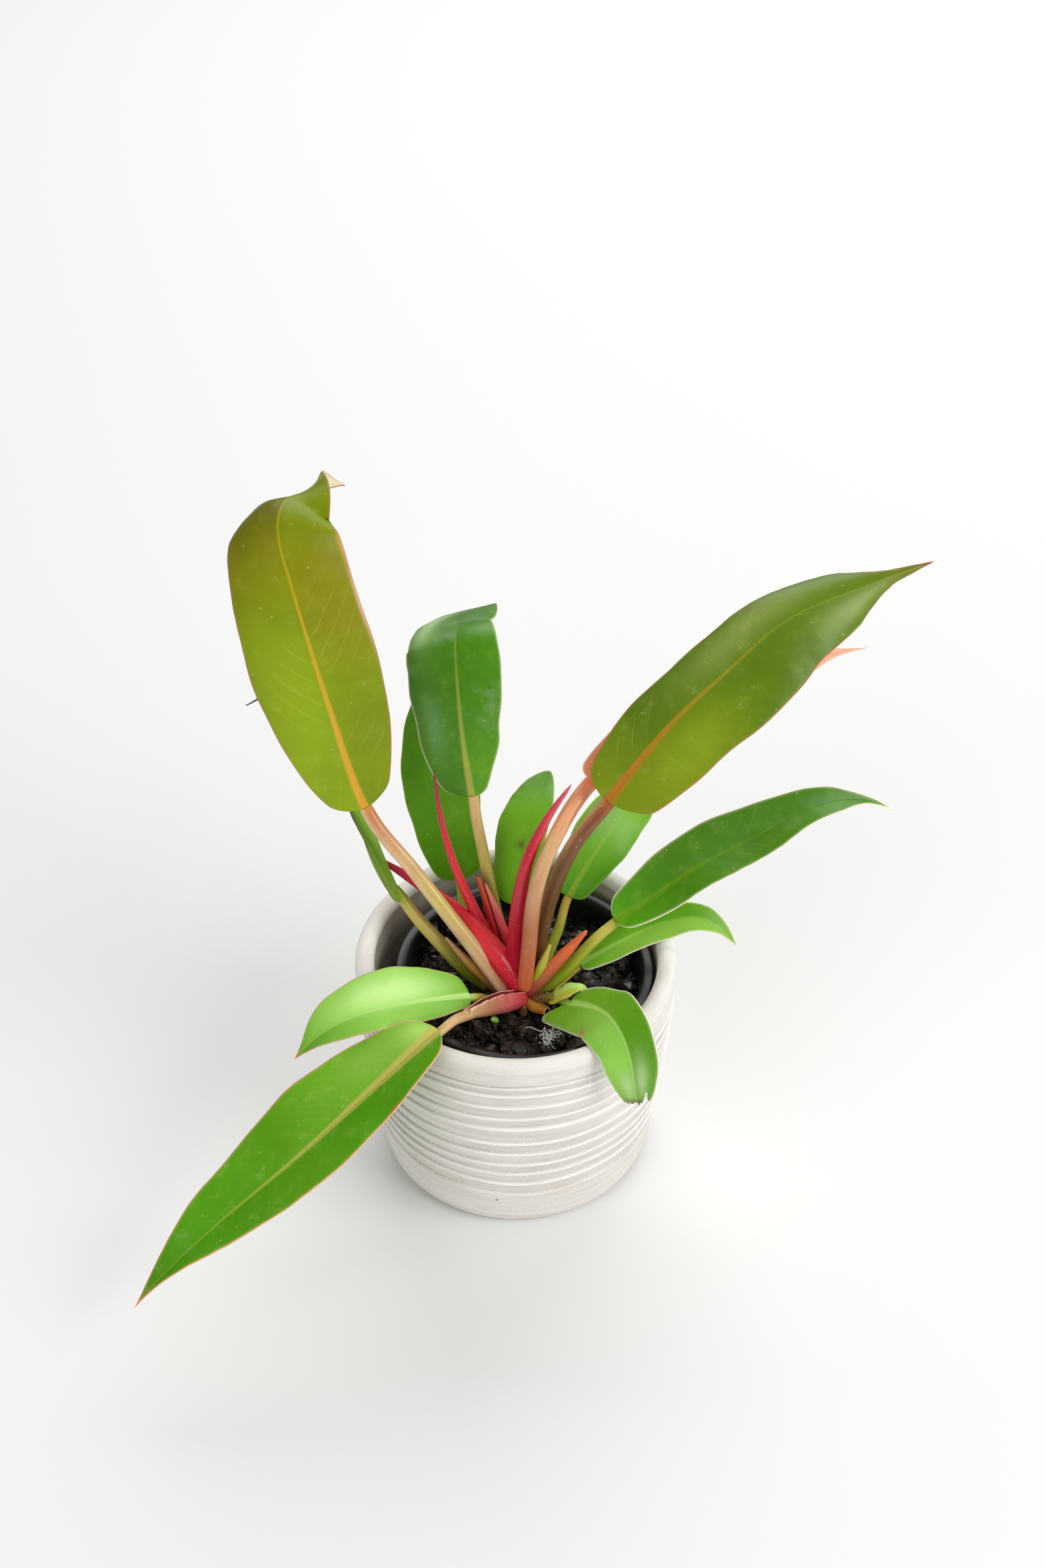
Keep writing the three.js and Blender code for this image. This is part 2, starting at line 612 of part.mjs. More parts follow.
// A closed thin body from a plane's grid, its two faces split alike. place gives the corner for
// a grid point and a side, 1 for the upper face and -1 for the under one.
function thinBody(columns, rows, place) {
  const plane = new THREE.PlaneGeometry(2, 1, columns, rows);
  const grid = plane.attributes.position;
  const corners = [];
  for (const face of [1, -1]) {
    for (let i = 0; i < grid.count; i += 1) {
      corners.push(...place(grid.getX(i), grid.getY(i) + 0.5, face).toArray());
    }
  }
  const top = plane.index.array;
  const under = [...top].reverse().map((i) => i + grid.count);
  const edge = [];
  const wide = columns + 1;
  for (let i = 0; i < rows; i += 1) edge.push(i * wide);
  for (let i = 0; i < columns; i += 1) edge.push(rows * wide + i);
  for (let i = rows; i > 0; i -= 1) edge.push(i * wide + columns);
  for (let i = columns; i > 0; i -= 1) edge.push(i);
  const wall = edge.flatMap((a, i) => {
    const b = edge[(i + 1) % edge.length];
    return [a, a + grid.count, b + grid.count, a, b + grid.count, b];
  });
  const geometry = new THREE.BufferGeometry();
  geometry.setAttribute("position", new THREE.Float32BufferAttribute(corners, 3));
  geometry.setIndex([...top, ...under, ...wall]);
  return geometry;
}

// The blade, with the midrib as a keel on its under side. grow thickens it all round.
function blade(leaf, spine, grow) {
  const length = spine.length - spine.base;
  const wanted = Math.round(length / ROW_LENGTH);
  const rows = THREE.MathUtils.clamp(wanted, FEWEST_ROWS, MOST_ROWS);
  const columns = Math.max(...leaf.left) + Math.max(...leaf.right) > WIDE_BLADE ? 8 : 6;
  return solidOf(thinBody(columns, rows, (across, share, face) => {
    const { point, direction, outward, facing } = bladePoint(leaf, spine, share, across);
    const underRib = across === 0 && face < 0;
    const keel = underRib ? KEEL * leaf.stalk[1] * (1 - share) ** KEEL_FADE : 0;
    point.addScaledVector(facing, face * (BLADE_THICKNESS / 2 + keel + grow));
    if (Math.abs(across) === 1) point.addScaledVector(outward, grow);
    if (share === 0) point.addScaledVector(direction, -grow);
    if (share === 1) point.addScaledVector(direction, grow);
    return point;
  }));
}

// A round body of changing radius along a spine, from its start to a distance.
function rod(spine, end, radii, grow) {
  const steps = Math.max(3, Math.round(end / STALK_STEP));
  const geometry = new THREE.CylinderGeometry(1, 1, 1, STALK_SIDES, steps);
  const place = geometry.attributes.position;
  for (let i = 0; i < place.count; i += 1) {
    const share = 0.5 + place.getY(i);
    const { point, direction, normal, side } = spine.at(share * end);
    const radius = along(radii, share) + grow;
    point.addScaledVector(side, place.getX(i) * radius);
    point.addScaledVector(normal, place.getZ(i) * radius);
    if (share === 1) point.addScaledVector(direction, grow);
    place.setXYZ(i, ...point.toArray());
  }
  return solidOf(geometry);
}

// The plant

const plant = new THREE.Group();
const kept = [];

function boxesMeet(a, b) {
  const one = a.boundingBox();
  const two = b.boundingBox();
  return [0, 1, 2].every((k) => one.min[k] < two.max[k] && two.min[k] < one.max[k]);
}

// Adds a piece, cut back where an earlier one stands in its way. make gives the piece's solid
// grown by a distance, and one grown by room is what later pieces keep clear of.
function add(name, make, material, room = GAP) {
  let solid = make(0);
  for (const other of kept) {
    if (boxesMeet(solid, other)) solid = solid.subtract(other);
  }
  const bodies = solid.decompose().sort((a, b) => b.volume() - a.volume());
  plant.add(meshOf(name, withoutSlivers(bodies[0]), material));
  kept.push(make(room));
}

plant.add(meshOf("cover_pot", coverPot(), { color: 0xcfcac2, roughness: 0.8, metalness: 0 }));
plant.add(meshOf("nursery_pot", nurseryPot(), { color: 0x151515, roughness: 0.35, metalness: 0 }));
const soilSolid = soil();
plant.add(meshOf("soil", soilSolid, { color: 0x1f1813, roughness: 0.95, metalness: 0 }));
kept.push(soilSolid.translate([0, 0, GAP]));
add("stem", stem, { color: 0x8a4a3a, roughness: 0.6, metalness: 0 }, STEM_ROOM);

const spines = {};
for (const [name, leaf] of Object.entries(LEAVES)) {
  spines[name] = new Spine(leaf.path, leaf.face, leaf.base);
  const finish = { color: leaf.colour[0], roughness: 0.45, metalness: 0 };
  add(name + "_blade", (grow) => blade(leaf, spines[name], grow), finish);
}
for (const [name, leaf] of Object.entries(LEAVES)) {
  const end = spines[name].base - GAP;
  const finish = { color: leaf.colour[1], roughness: 0.4, metalness: 0 };
  add(name + "_stalk", (grow) => rod(spines[name], end, leaf.stalk, grow), finish);
}
for (const [name, sheath] of Object.entries(SHEATHS)) {
  const spine = new Spine(sheath.path, SHEATH_FACE, 0);
  const finish = { color: sheath.colour, roughness: 0.3, metalness: 0 };
  add(name, (grow) => rod(spine, spine.length, sheath.radii, grow), finish);
}

export default plant;
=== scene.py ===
# %% [markdown]
# # A prince of orange philodendron in its two pots
# The plant is young: fourteen leaves and a handful of red sheaths grow from one short stem. It
# stands in a black nursery pot, and that stands in a ribbed stoneware pot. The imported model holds
# every piece at its real size. In this lesson each piece is made again with a finer mesh, in the
# same place, and gets its finish.

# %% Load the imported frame
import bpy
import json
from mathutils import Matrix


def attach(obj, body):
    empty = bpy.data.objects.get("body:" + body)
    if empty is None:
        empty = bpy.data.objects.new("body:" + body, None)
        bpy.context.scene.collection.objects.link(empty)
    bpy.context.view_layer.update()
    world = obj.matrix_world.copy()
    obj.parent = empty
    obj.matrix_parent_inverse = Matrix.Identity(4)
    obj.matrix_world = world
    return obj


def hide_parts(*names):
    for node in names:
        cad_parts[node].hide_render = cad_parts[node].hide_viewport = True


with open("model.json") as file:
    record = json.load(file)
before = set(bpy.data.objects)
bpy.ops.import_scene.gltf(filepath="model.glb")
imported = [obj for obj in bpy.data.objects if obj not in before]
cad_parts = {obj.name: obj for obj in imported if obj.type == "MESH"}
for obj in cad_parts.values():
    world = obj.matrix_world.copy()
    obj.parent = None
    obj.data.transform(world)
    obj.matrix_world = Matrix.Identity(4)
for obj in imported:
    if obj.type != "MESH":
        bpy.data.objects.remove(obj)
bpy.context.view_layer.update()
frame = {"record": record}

# %% Libraries, the unit and the body that everything rides on
import json
import math
import random

import bmesh
import bpy
import numpy as np
from mathutils import Matrix, Vector, noise

MM = 0.001
BODY = "root"

# %% [markdown]
# ## Camera
# The photograph looks about 40 degrees down on the plant from its front, close enough for the
# leaves to spread. The lens and the distance were fitted to the rims of both pots.

# %% The camera
CAMERA_PITCH = math.radians(39.5)
CAMERA_DISTANCE = 950 * MM
CAMERA_TARGET = Vector((3.1, 0, 218.5)) * MM
LENS = 50

ahead = Vector((0, math.cos(CAMERA_PITCH), -math.sin(CAMERA_PITCH)))
camera = bpy.data.objects.new("camera", bpy.data.cameras.new("camera"))
camera.data.lens = LENS
camera.location = CAMERA_TARGET - CAMERA_DISTANCE * ahead
camera.rotation_euler = (math.pi / 2 - CAMERA_PITCH, 0, 0)
bpy.context.scene.collection.objects.link(camera)
bpy.context.scene.camera = camera
print("camera at", [round(value, 3) for value in camera.location])

# %% [markdown]
# ## Wiring materials
# Every finish here is a node tree. Written out node by node, a tree hides its idea, so a small
# class lays the nodes: a socket takes a number, a colour or another node's output, and each
# common step, such as a noise, a mix or a soft threshold, is one call.


# %% A helper that lays nodes
MIX_INPUTS = (0, 6, 7)  # the share and the two colours: a Mix node has sockets of other kinds too
MIX_OUTPUT = 2


class Wires:
    def __init__(self, tree):
        self.tree = tree

    def feed(self, socket, value):
        if isinstance(value, bpy.types.NodeSocket):
            self.tree.links.new(value, socket)
        else:
            socket.default_value = value

    def add(self, kind, sockets=None, **settings):
        node = self.tree.nodes.new(kind)
        for name, value in settings.items():
            setattr(node, name, value)
        for name, value in (sockets or {}).items():
            self.feed(node.inputs[name], value)
        return node

    def maths(self, operation, *values, clamp=False):
        node = self.add("ShaderNodeMath", operation=operation, use_clamp=clamp)
        for socket, value in zip(node.inputs, values):
            self.feed(socket, value)
        return node.outputs[0]

    def times(self, first, *others):
        for other in others:
            first = self.maths("MULTIPLY", first, other)
        return first

    def ease(self, value, start, end, low=0.0, high=1.0):
        sockets = {"Value": value, "From Min": start, "From Max": end, "To Min": low, "To Max": high}
        node = self.add("ShaderNodeMapRange", sockets, interpolation_type="SMOOTHSTEP")
        return node.outputs["Result"]

    def mix(self, share, first, second, blend="MIX"):
        node = self.add("ShaderNodeMix", data_type="RGBA", blend_type=blend)
        for index, value in zip(MIX_INPUTS, (share, first, second)):
            self.feed(node.inputs[index], value)
        return node.outputs[MIX_OUTPUT]

    def noise(self, where, scale, detail=3.0, roughness=0.5):
        sockets = {"Vector": where, "Scale": scale, "Detail": detail, "Roughness": roughness}
        return self.add("ShaderNodeTexNoise", sockets).outputs["Fac"]

    def specks(self, where, scale, above, full, gone, channel=0):
        """Round specks, one in each Voronoi cell whose random number lies above a level."""
        cells = self.add("ShaderNodeTexVoronoi", {"Vector": where, "Scale": scale}).outputs
        chance = self.add("ShaderNodeSeparateColor", {"Color": cells["Color"]}).outputs[channel]
        chosen = self.maths("GREATER_THAN", chance, above)
        return self.times(chosen, self.ease(cells["Distance"], full, gone, 1.0, 0.0))

    def attribute(self, name, output="Fac"):
        return self.add("ShaderNodeAttribute", attribute_name=name).outputs[output]

    def place(self):
        return self.add("ShaderNodeTexCoord").outputs["Object"]


# %% Colours are written as the eye reads them, and Blender wants them linear
def paint(code):
    parts = [int(code[i : i + 2], 16) / 255 for i in (1, 3, 5)]
    linear = [((part + 0.055) / 1.055) ** 2.4 if part > 0.04045 else part / 12.92 for part in parts]
    return (*linear, 1.0)


# %% Groups and materials
def new_group(name, inputs, outputs):
    tree = bpy.data.node_groups.new(name, "ShaderNodeTree")
    for way, sockets in (("INPUT", inputs), ("OUTPUT", outputs)):
        for label, kind in sockets.items():
            tree.interface.new_socket(label, in_out=way, socket_type="NodeSocket" + kind)
    given = tree.nodes.new("NodeGroupInput").outputs
    result = tree.nodes.new("NodeGroupOutput").inputs
    print(f"node group {name} takes {', '.join(inputs)}")
    return Wires(tree), given, result


def new_material(name, bump, depth, group, values, **shader):
    """A material whose colour, roughness and relief come from a node group."""
    material = bpy.data.materials.new(name)
    material.use_nodes = True
    material.node_tree.nodes.clear()
    wires = Wires(material.node_tree)
    marks = wires.add("ShaderNodeGroup", node_tree=bpy.data.node_groups[group])
    for label, value in values.items():
        wires.feed(marks.inputs[label], value)
    surface = wires.add("ShaderNodeBsdfPrincipled", shader)
    wires.feed(surface.inputs["Base Color"], marks.outputs["Color"])
    wires.feed(surface.inputs["Roughness"], marks.outputs["Roughness"])
    relief = {"Height": marks.outputs["Height"], "Strength": bump, "Distance": depth}
    wires.feed(surface.inputs["Normal"], wires.add("ShaderNodeBump", relief).outputs[0])
    out = wires.add("ShaderNodeOutputMaterial")
    wires.feed(out.inputs["Surface"], surface.outputs["BSDF"])
    return material


MARKS = {"Color": "Color", "Roughness": "Float", "Height": "Float"}

# %% [markdown]
# ## From a bmesh to a finished piece
# Each piece is shaped in a bmesh, turned into a mesh and set on the body it rides on, and the
# imported nodes that it stands for are hidden.


# %% Finish a piece
WELD = 1e-6


def finish_piece(work, name, materials, slot, *nodes, smooth=True):
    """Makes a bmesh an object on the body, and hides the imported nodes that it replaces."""
    bmesh.ops.remove_doubles(work, verts=work.verts[:], dist=WELD)
    bmesh.ops.dissolve_degenerate(work, edges=work.edges[:], dist=WELD)
    bmesh.ops.recalc_face_normals(work, faces=work.faces[:])
    for face in work.faces:
        face.smooth = smooth
    mesh = bpy.data.meshes.new(name)
    work.to_mesh(mesh)
    work.free()
    for material in materials:
        mesh.materials.append(material)
    piece = bpy.data.objects.new(name, mesh)
    bpy.context.scene.collection.objects.link(piece)
    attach(piece, BODY)
    if nodes:
        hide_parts(*nodes)
    print(f"{name}: {len(mesh.polygons)} faces")
    return piece


# %% [markdown]
# ## Turned bodies
# Both pots are bodies of revolution. Half of the outline is drawn as a chain of vertices and spun
# round the upright axis, as clay is on the wheel. The grooves of the outer pot aren't perfect
# rings, so after the spin each vertex of the wall is moved to a groove line that wanders.


# %% Spin an outline
def spun(outline, sides):
    """Spins an outline of radii and heights, in millimetres, round the upright axis."""
    work = bmesh.new()
    corners = [work.verts.new((radius * MM, 0, height * MM)) for radius, height in outline]
    edges = [work.edges.new(pair) for pair in zip(corners, corners[1:])]
    bmesh.ops.spin(
        work, geom=corners + edges, cent=(0, 0, 0), axis=(0, 0, 1), dvec=(0, 0, 0),
        angle=2 * math.pi, steps=sides, use_merge=True, use_duplicate=False,
    )
    bmesh.ops.remove_doubles(work, verts=work.verts[:], dist=WELD)
    return work


# %% The stoneware pot's sizes, in millimetres
POT_HEIGHT = 118
LIP_RADIUS = 4.5
RIM_RADIUS = 75
BELLY_RADIUS = 65
FOOT_RADIUS = 59
FOOT_ROUND = 6
POT_FLOOR = 8
POT_FLOOR_RADIUS = 52
POT_WALL = 9
WALL_SWELL = 1.1
GROOVES = [26, 35, 43, 50, 58, 66, 77, 84, 92, 100, 105]
GROOVE_DEPTH = 1.45
GROOVE_HOLLOW = 1.4
GROOVE_WANDER = 1.3
GROOVE_UNEVEN = 0.35
FIRST_SLOPE = 1
LAST_SLOPE = 1.2
LEDGE = 0.88
HIGHLIGHT_EDGE_WIDTH = 0.06
CREASE_SHADE_WIDTH = 0.42
CREASE_SHADE_BELOW = 0.1
OUTLINE_STEP = 0.37
POT_SIDES = 240


def wall_radius(height):
    climb = np.clip(height / (POT_HEIGHT - LIP_RADIUS), 0, 1)
    return BELLY_RADIUS + (RIM_RADIUS - BELLY_RADIUS) * np.sin(climb * math.pi / 2) ** WALL_SWELL


print(f"stoneware pot: {POT_HEIGHT} mm tall, {2 * RIM_RADIUS} mm over its rim")

# %% [markdown]
# A thrown groove isn't a symmetric dent. The potter's finger leaves a small ledge, and the clay
# above the next one leans back towards it, so each band is a saw tooth: it stands out at its top
# edge, which catches the light, and falls away slowly below it.


# %% The saw tooth of the throwing grooves
def groove_offset(height, wander):
    """How far a band lies behind the wall, and how near a place is to the painted highlight on a band's
    top edge and to the painted shade in the crease under it.
    """
    lines = np.array(GROOVES) + wander
    crease_shade = math.exp(-((np.min(np.abs(lines - height - CREASE_SHADE_BELOW)) / CREASE_SHADE_WIDTH) ** 2))
    if height <= lines[0] - FIRST_SLOPE or height >= lines[-1] + LAST_SLOPE:
        return 0.0, 0.0, crease_shade
    band = int(np.searchsorted(lines, height)) - 1
    if band < 0:
        share = height - lines[0] + FIRST_SLOPE
        return GROOVE_DEPTH * share, 0.0, crease_shade
    if band == len(lines) - 1:
        return GROOVE_DEPTH * max(0.0, 1 - (height - lines[-1]) / LAST_SLOPE), 0.0, crease_shade
    share = (height - lines[band]) / (lines[band + 1] - lines[band])
    fall = 1 - share / LEDGE if share < LEDGE else (share - LEDGE) / (1 - LEDGE)
    edge = math.exp(-(((share - LEDGE + 0.01) / HIGHLIGHT_EDGE_WIDTH) ** 2))
    return GROOVE_DEPTH * fall**GROOVE_HOLLOW, edge, crease_shade


def pot_outline():
    """From the middle of the base over the foot, the wall and the lip to the middle of the floor."""
    foot = [
        (FOOT_RADIUS + FOOT_ROUND * math.sin(turn), FOOT_ROUND * (1 - math.cos(turn)))
        for turn in np.linspace(0, math.pi / 2, 9)
    ]
    outline = [(0, 0), (FOOT_RADIUS * 0.6, 0), *foot]
    top = POT_HEIGHT - LIP_RADIUS
    outline += [(wall_radius(z), z) for z in np.arange(FOOT_ROUND + 1, top, OUTLINE_STEP)]
    centre = RIM_RADIUS - LIP_RADIUS
    outline += [
        (centre + LIP_RADIUS * math.cos(turn), top + LIP_RADIUS * math.sin(turn))
        for turn in np.linspace(0, math.pi, 16)
    ]
    outline += [(wall_radius(z) - POT_WALL, z) for z in np.arange(top - 2, POT_FLOOR + 8, -3)]
    corner = POT_FLOOR_RADIUS
    outline += [(corner, POT_FLOOR + 1.5), (corner - 3, POT_FLOOR)]
    outline += [(corner / 2, POT_FLOOR), (0, POT_FLOOR)]
    return outline


# %% [markdown]
# ## Stoneware
# The clay is a pale, warm grey with fine grit: white grains stand proud of it, and a few small
# pits show dark. The wheel drags faint streaks round it, so one noise is squeezed along the axis.
# The group is used twice, dry on the outside and smoother on the inside.


# %% The stoneware group
def stoneware_group():
    inputs = {
        "Clay": "Color", "Stain": "Color", "Grit": "Float", "Pits": "Float", "Smooth": "Float",
    }
    wires, given, result = new_group("stoneware", inputs, MARKS)
    place = wires.place()
    squeezed = wires.add("ShaderNodeMapping", {"Vector": place, "Scale": (1, 1, 14)}).outputs[0]
    streaks = wires.noise(squeezed, 22, 5, 0.6)
    cloud = wires.noise(place, 18, 3)
    ridge_highlight = wires.attribute("ridge_highlight")
    colour = wires.mix(wires.times(wires.ease(streaks, 0.42, 0.7), 0.55), given["Clay"], given["Stain"])
    colour = wires.mix(wires.times(wires.ease(cloud, 0.45, 0.7), 0.35), colour, given["Stain"])
    # Painted highlight: near white along each band's top edge, where the ledge faces the light, over a
    # little paler wear of the clay
    colour = wires.mix(wires.times(ridge_highlight, 0.8), colour, paint("#fdfcfa"))
    # Painted shade: darker grey in the crease under each ledge
    colour = wires.mix(wires.times(wires.attribute("crease_shade"), 0.36), colour, paint("#8b847b"))
    dusted = wires.ease(wires.noise(place, 26, 2), 0.42, 0.6, 0.09, 0.58)
    gritty = wires.maths("SUBTRACT", 1.0, wires.times(dusted, given["Grit"]))
    grain = wires.specks(place, 740, gritty, 0.14, 0.3)
    colour = wires.mix(wires.times(grain, 0.9), colour, paint("#ffffff"))
    pitted = wires.maths("SUBTRACT", 1.0, wires.times(given["Pits"], 0.1))
    pit = wires.specks(place, 120, pitted, 0.04, 0.11, channel=1)
    colour = wires.mix(wires.times(pit, 0.75), colour, paint("#5d4a3c"))
    rough = wires.maths("SUBTRACT", 0.86, given["Smooth"])
    wires.feed(result["Roughness"], wires.maths("ADD", rough, wires.times(streaks, 0.1)))
    grainy = wires.times(wires.noise(place, 900, 2), 0.18)
    height = wires.maths("ADD", wires.maths("ADD", grainy, grain), wires.times(pit, -1.6))
    wires.feed(result["Height"], wires.maths("ADD", height, wires.times(streaks, 0.5)))
    wires.feed(result["Color"], colour)


stoneware_group()
dry_clay = new_material(
    "stoneware_dry", bump=0.55, depth=0.35 * MM, group="stoneware",
    values={
        "Clay": paint("#e4e0db"), "Stain": paint("#cbc3b8"), "Grit": 1.0, "Pits": 0.55, "Smooth": 0.06,
    },
)
inside_clay = new_material(
    "stoneware_inside", bump=0.2, depth=0.3 * MM, group="stoneware",
    values={
        "Clay": paint("#bdb6aa"), "Stain": paint("#9c9283"), "Grit": 0.2, "Pits": 0.3, "Smooth": 0.6,
    },
)


# %% The stoneware pot
WALL_FROM = 60 * MM


def inner_side(place):
    """Whether a place lies nearer to the axis than the middle of the pot's wall."""
    return math.hypot(place.x, place.y) < (wall_radius(place.z / MM) - POT_WALL / 2) * MM


def noise_round(around, height, wide, tall):
    """Noise that closes on itself round the upright axis."""
    return noise.noise((around.x * wide, around.y * wide, height * tall))


def stoneware_pot():
    work = spun(pot_outline(), POT_SIDES)
    # Two painted marks follow the grooves: a highlight on each band's top edge and shade in the crease
    # below it
    ridge_highlight, crease_shade = (work.verts.layers.float.new(label) for label in ("ridge_highlight", "crease_shade"))
    top = (POT_HEIGHT - LIP_RADIUS) * MM
    for vert in work.verts:
        radius = math.hypot(vert.co.x, vert.co.y)
        if radius < WALL_FROM or not FOOT_ROUND * MM < vert.co.z < top or inner_side(vert.co):
            continue
        around = vert.co.to_2d().normalized()
        wander = GROOVE_WANDER * noise_round(around, vert.co.z, 1.7, 18)
        behind, edge, near_crease_shade = groove_offset(vert.co.z / MM, wander)
        uneven = GROOVE_UNEVEN * noise_round(around, vert.co.z, 4, 90)
        vert.co.xy = around * (radius - (behind + 0.3 * uneven) * MM)
        vert[ridge_highlight] = edge * (0.75 + uneven)
        vert[crease_shade] = near_crease_shade * (0.8 + 1.2 * uneven)
    floor_from = POT_FLOOR * MM - 1e-5
    for face in work.faces:
        middle = face.calc_center_median()
        if inner_side(middle) and floor_from < middle.z < top - 1 * MM:
            face.material_index = 1
    return finish_piece(work, "stoneware_pot", [dry_clay, inside_clay], "cover_pot", "cover_pot")


stoneware_pot()

# %% [markdown]
# ## The nursery pot
# A nursery pot is blown or moulded from a very thin sheet, so its wall is never quite round: long
# soft waves run down it and show as wavering highlights. Its lip is flat and turned down at the
# rim. The drain holes are cut with a Boolean, which is applied straight away.

# %% The nursery pot's sizes, in millimetres
NURSERY_CENTRE = Vector((4, -2, 0)) * MM
NURSERY_RIM = 60.3
NURSERY_TOP = 109.5
NURSERY_NECK = 56
NURSERY_BASE = 43
NURSERY_FLOOR = POT_FLOOR + 0.3
NURSERY_WALL = 1.0
NURSERY_SKIRT = 4
NURSERY_SIDES = 200
WAVE_DEPTH = 0.45
WAVES_FROM = 44 * MM
DRAIN_HOLES = 6
DRAIN_RADIUS = 4.5
DRAIN_CIRCLE = 29
DRAIN_SIDES = 24


def nursery_radius(height):
    climb = (height - NURSERY_FLOOR) / (NURSERY_TOP - NURSERY_FLOOR)
    return NURSERY_BASE + (NURSERY_NECK - NURSERY_BASE) * climb


print(f"nursery pot: {NURSERY_TOP} mm up, {2 * NURSERY_RIM:.1f} mm over its rim")


# %% Black plastic, dulled by a dusting of soil, with painted highlights in upright streaks on its left
def plastic_group():
    inputs = {"Plastic": "Color", "Dust": "Color", "Streak Highlights": "Color"}
    wires, given, result = new_group("black_plastic", inputs, MARKS)
    place = wires.place()
    smears = wires.noise(place, 38, 5, 0.65)
    dust = wires.times(wires.ease(smears, 0.5, 0.78), 0.5)
    colour = wires.mix(dust, given["Plastic"], given["Dust"])
    # Painted highlight: near-white upright streaks on the left of the wall, below the lip, stand in for
    # reflections there
    drawn_out = wires.add("ShaderNodeMapping", {"Vector": place, "Scale": (1, 1, 0.12)}).outputs[0]
    where = wires.add("ShaderNodeSeparateXYZ", {"Vector": place}).outputs
    streaks = wires.ease(wires.noise(drawn_out, 260, 4, 0.7), 0.54, 0.62)
    cloud = wires.ease(wires.noise(place, 45, 3), 0.4, 0.55)
    leftwards = wires.ease(where["X"], -0.01, -0.026)
    below_lip = wires.ease(where["Z"], 0.107, 0.103)
    streak_highlights = wires.times(streaks, cloud, leftwards, below_lip, 0.65)
    wires.feed(result["Color"], wires.mix(streak_highlights, colour, given["Streak Highlights"]))
    wires.feed(result["Roughness"], wires.maths("ADD", 0.24, wires.times(smears, 0.28)))
    wires.feed(result["Height"], wires.noise(place, 260, 3))


plastic_group()
black_plastic = new_material(
    "black_plastic", bump=0.12, depth=0.3 * MM, group="black_plastic",
    values={"Plastic": paint("#141414"), "Dust": paint("#3b3835"), "Streak Highlights": paint("#d4d8da")},
)


# %% The nursery pot
def nursery_pot():
    under = NURSERY_TOP - NURSERY_WALL
    skirt = NURSERY_TOP - NURSERY_SKIRT
    floor = NURSERY_FLOOR + NURSERY_WALL
    rise = np.linspace(NURSERY_FLOOR + 1, under, 30)
    outline = [(0, NURSERY_FLOOR), (NURSERY_BASE - 1, NURSERY_FLOOR)]
    outline += [(nursery_radius(z), z) for z in rise]
    outline += [
        (NURSERY_RIM - NURSERY_WALL, under), (NURSERY_RIM - NURSERY_WALL, skirt),
        (NURSERY_RIM - 0.2, skirt), (NURSERY_RIM, skirt + 0.3), (NURSERY_RIM, NURSERY_TOP - 0.7),
        (NURSERY_RIM - 0.25, NURSERY_TOP - 0.2), (NURSERY_RIM - 0.8, NURSERY_TOP),
        (NURSERY_NECK + 0.6, NURSERY_TOP - 0.1), (NURSERY_NECK - 0.3, NURSERY_TOP - 0.5),
        (NURSERY_NECK - NURSERY_WALL, NURSERY_TOP - 1.3),
    ]
    outline += [(nursery_radius(z) - NURSERY_WALL, z) for z in rise[::-1] if z < NURSERY_TOP - 3]
    outline += [(nursery_radius(floor) - 3, floor), (0, floor)]
    work = spun(outline, NURSERY_SIDES)
    for vert in work.verts:
        radius = math.hypot(vert.co.x, vert.co.y)
        if radius > WAVES_FROM and vert.co.z < (NURSERY_TOP - 3) * MM:
            around = vert.co.to_2d() / radius
            wave = noise_round(around, vert.co.z, 5, 14)
            depth = min(1.0, (NURSERY_TOP - 3 - vert.co.z / MM) / 8)
            vert.co.xy = around * (radius + WAVE_DEPTH * MM * wave * depth)
    bmesh.ops.translate(work, verts=work.verts[:], vec=NURSERY_CENTRE)
    piece = finish_piece(work, "nursery_pot_shell", [black_plastic], "nursery_pot", "nursery_pot")
    cutters = bmesh.new()
    for i in range(DRAIN_HOLES):
        turn = 2 * math.pi * i / DRAIN_HOLES
        out = Vector((math.cos(turn), math.sin(turn), 0)) * DRAIN_CIRCLE * MM
        place = NURSERY_CENTRE + out + Vector((0, 0, NURSERY_FLOOR * MM))
        bmesh.ops.create_cone(
            cutters, cap_ends=True, segments=DRAIN_SIDES, radius1=DRAIN_RADIUS * MM,
            radius2=DRAIN_RADIUS * MM, depth=6 * MM, matrix=Matrix.Translation(place),
        )
    cut_with(piece, cutters)
    return piece


def cut_with(piece, cutters):
    """Cuts a bmesh's closed bodies out of a piece and leaves nothing behind but the holes."""
    mesh = bpy.data.meshes.new("cutters")
    cutters.to_mesh(mesh)
    cutters.free()
    tool = bpy.data.objects.new("cutters", mesh)
    bpy.context.scene.collection.objects.link(tool)
    cut = piece.modifiers.new("holes", "BOOLEAN")
    cut.object = tool
    cut.operation = "DIFFERENCE"
    cut.solver = "EXACT"
    solid = piece.evaluated_get(bpy.context.evaluated_depsgraph_get())
    holed = bpy.data.meshes.new_from_object(solid)
    piece.modifiers.remove(cut)
    piece.data = holed
    bpy.data.objects.remove(tool)
    print(f"{piece.name}: cut, {len(holed.polygons)} faces")


nursery_pot()

# %% [markdown]
# ## Potting mix
# The mix is nearly black, with coarse crumbs and chips of bark that stand on end. A plain surface
# with a bump map would look like tarmac from close by, so there are four layers: the body of the
# soil with a lumpy top, over a thousand crumbs of twenty faces each, wet chunks of peat whose flat
# faces glint, and the longer bark chips.

# %% The mix's sizes
SOIL_TOP = 96
SOIL_GAP = 0.45
SOIL_BUMP = 1.3
SOIL_FLOOR = NURSERY_FLOOR + 1.5
SOIL_RINGS = 56
SOIL_SIDES = 190
LUMP_HEIGHT = 1.6
GRAIN_HEIGHT = 0.7
CRUMBS = 1300
CHUNKS = 120
BARK_CHIPS = 90


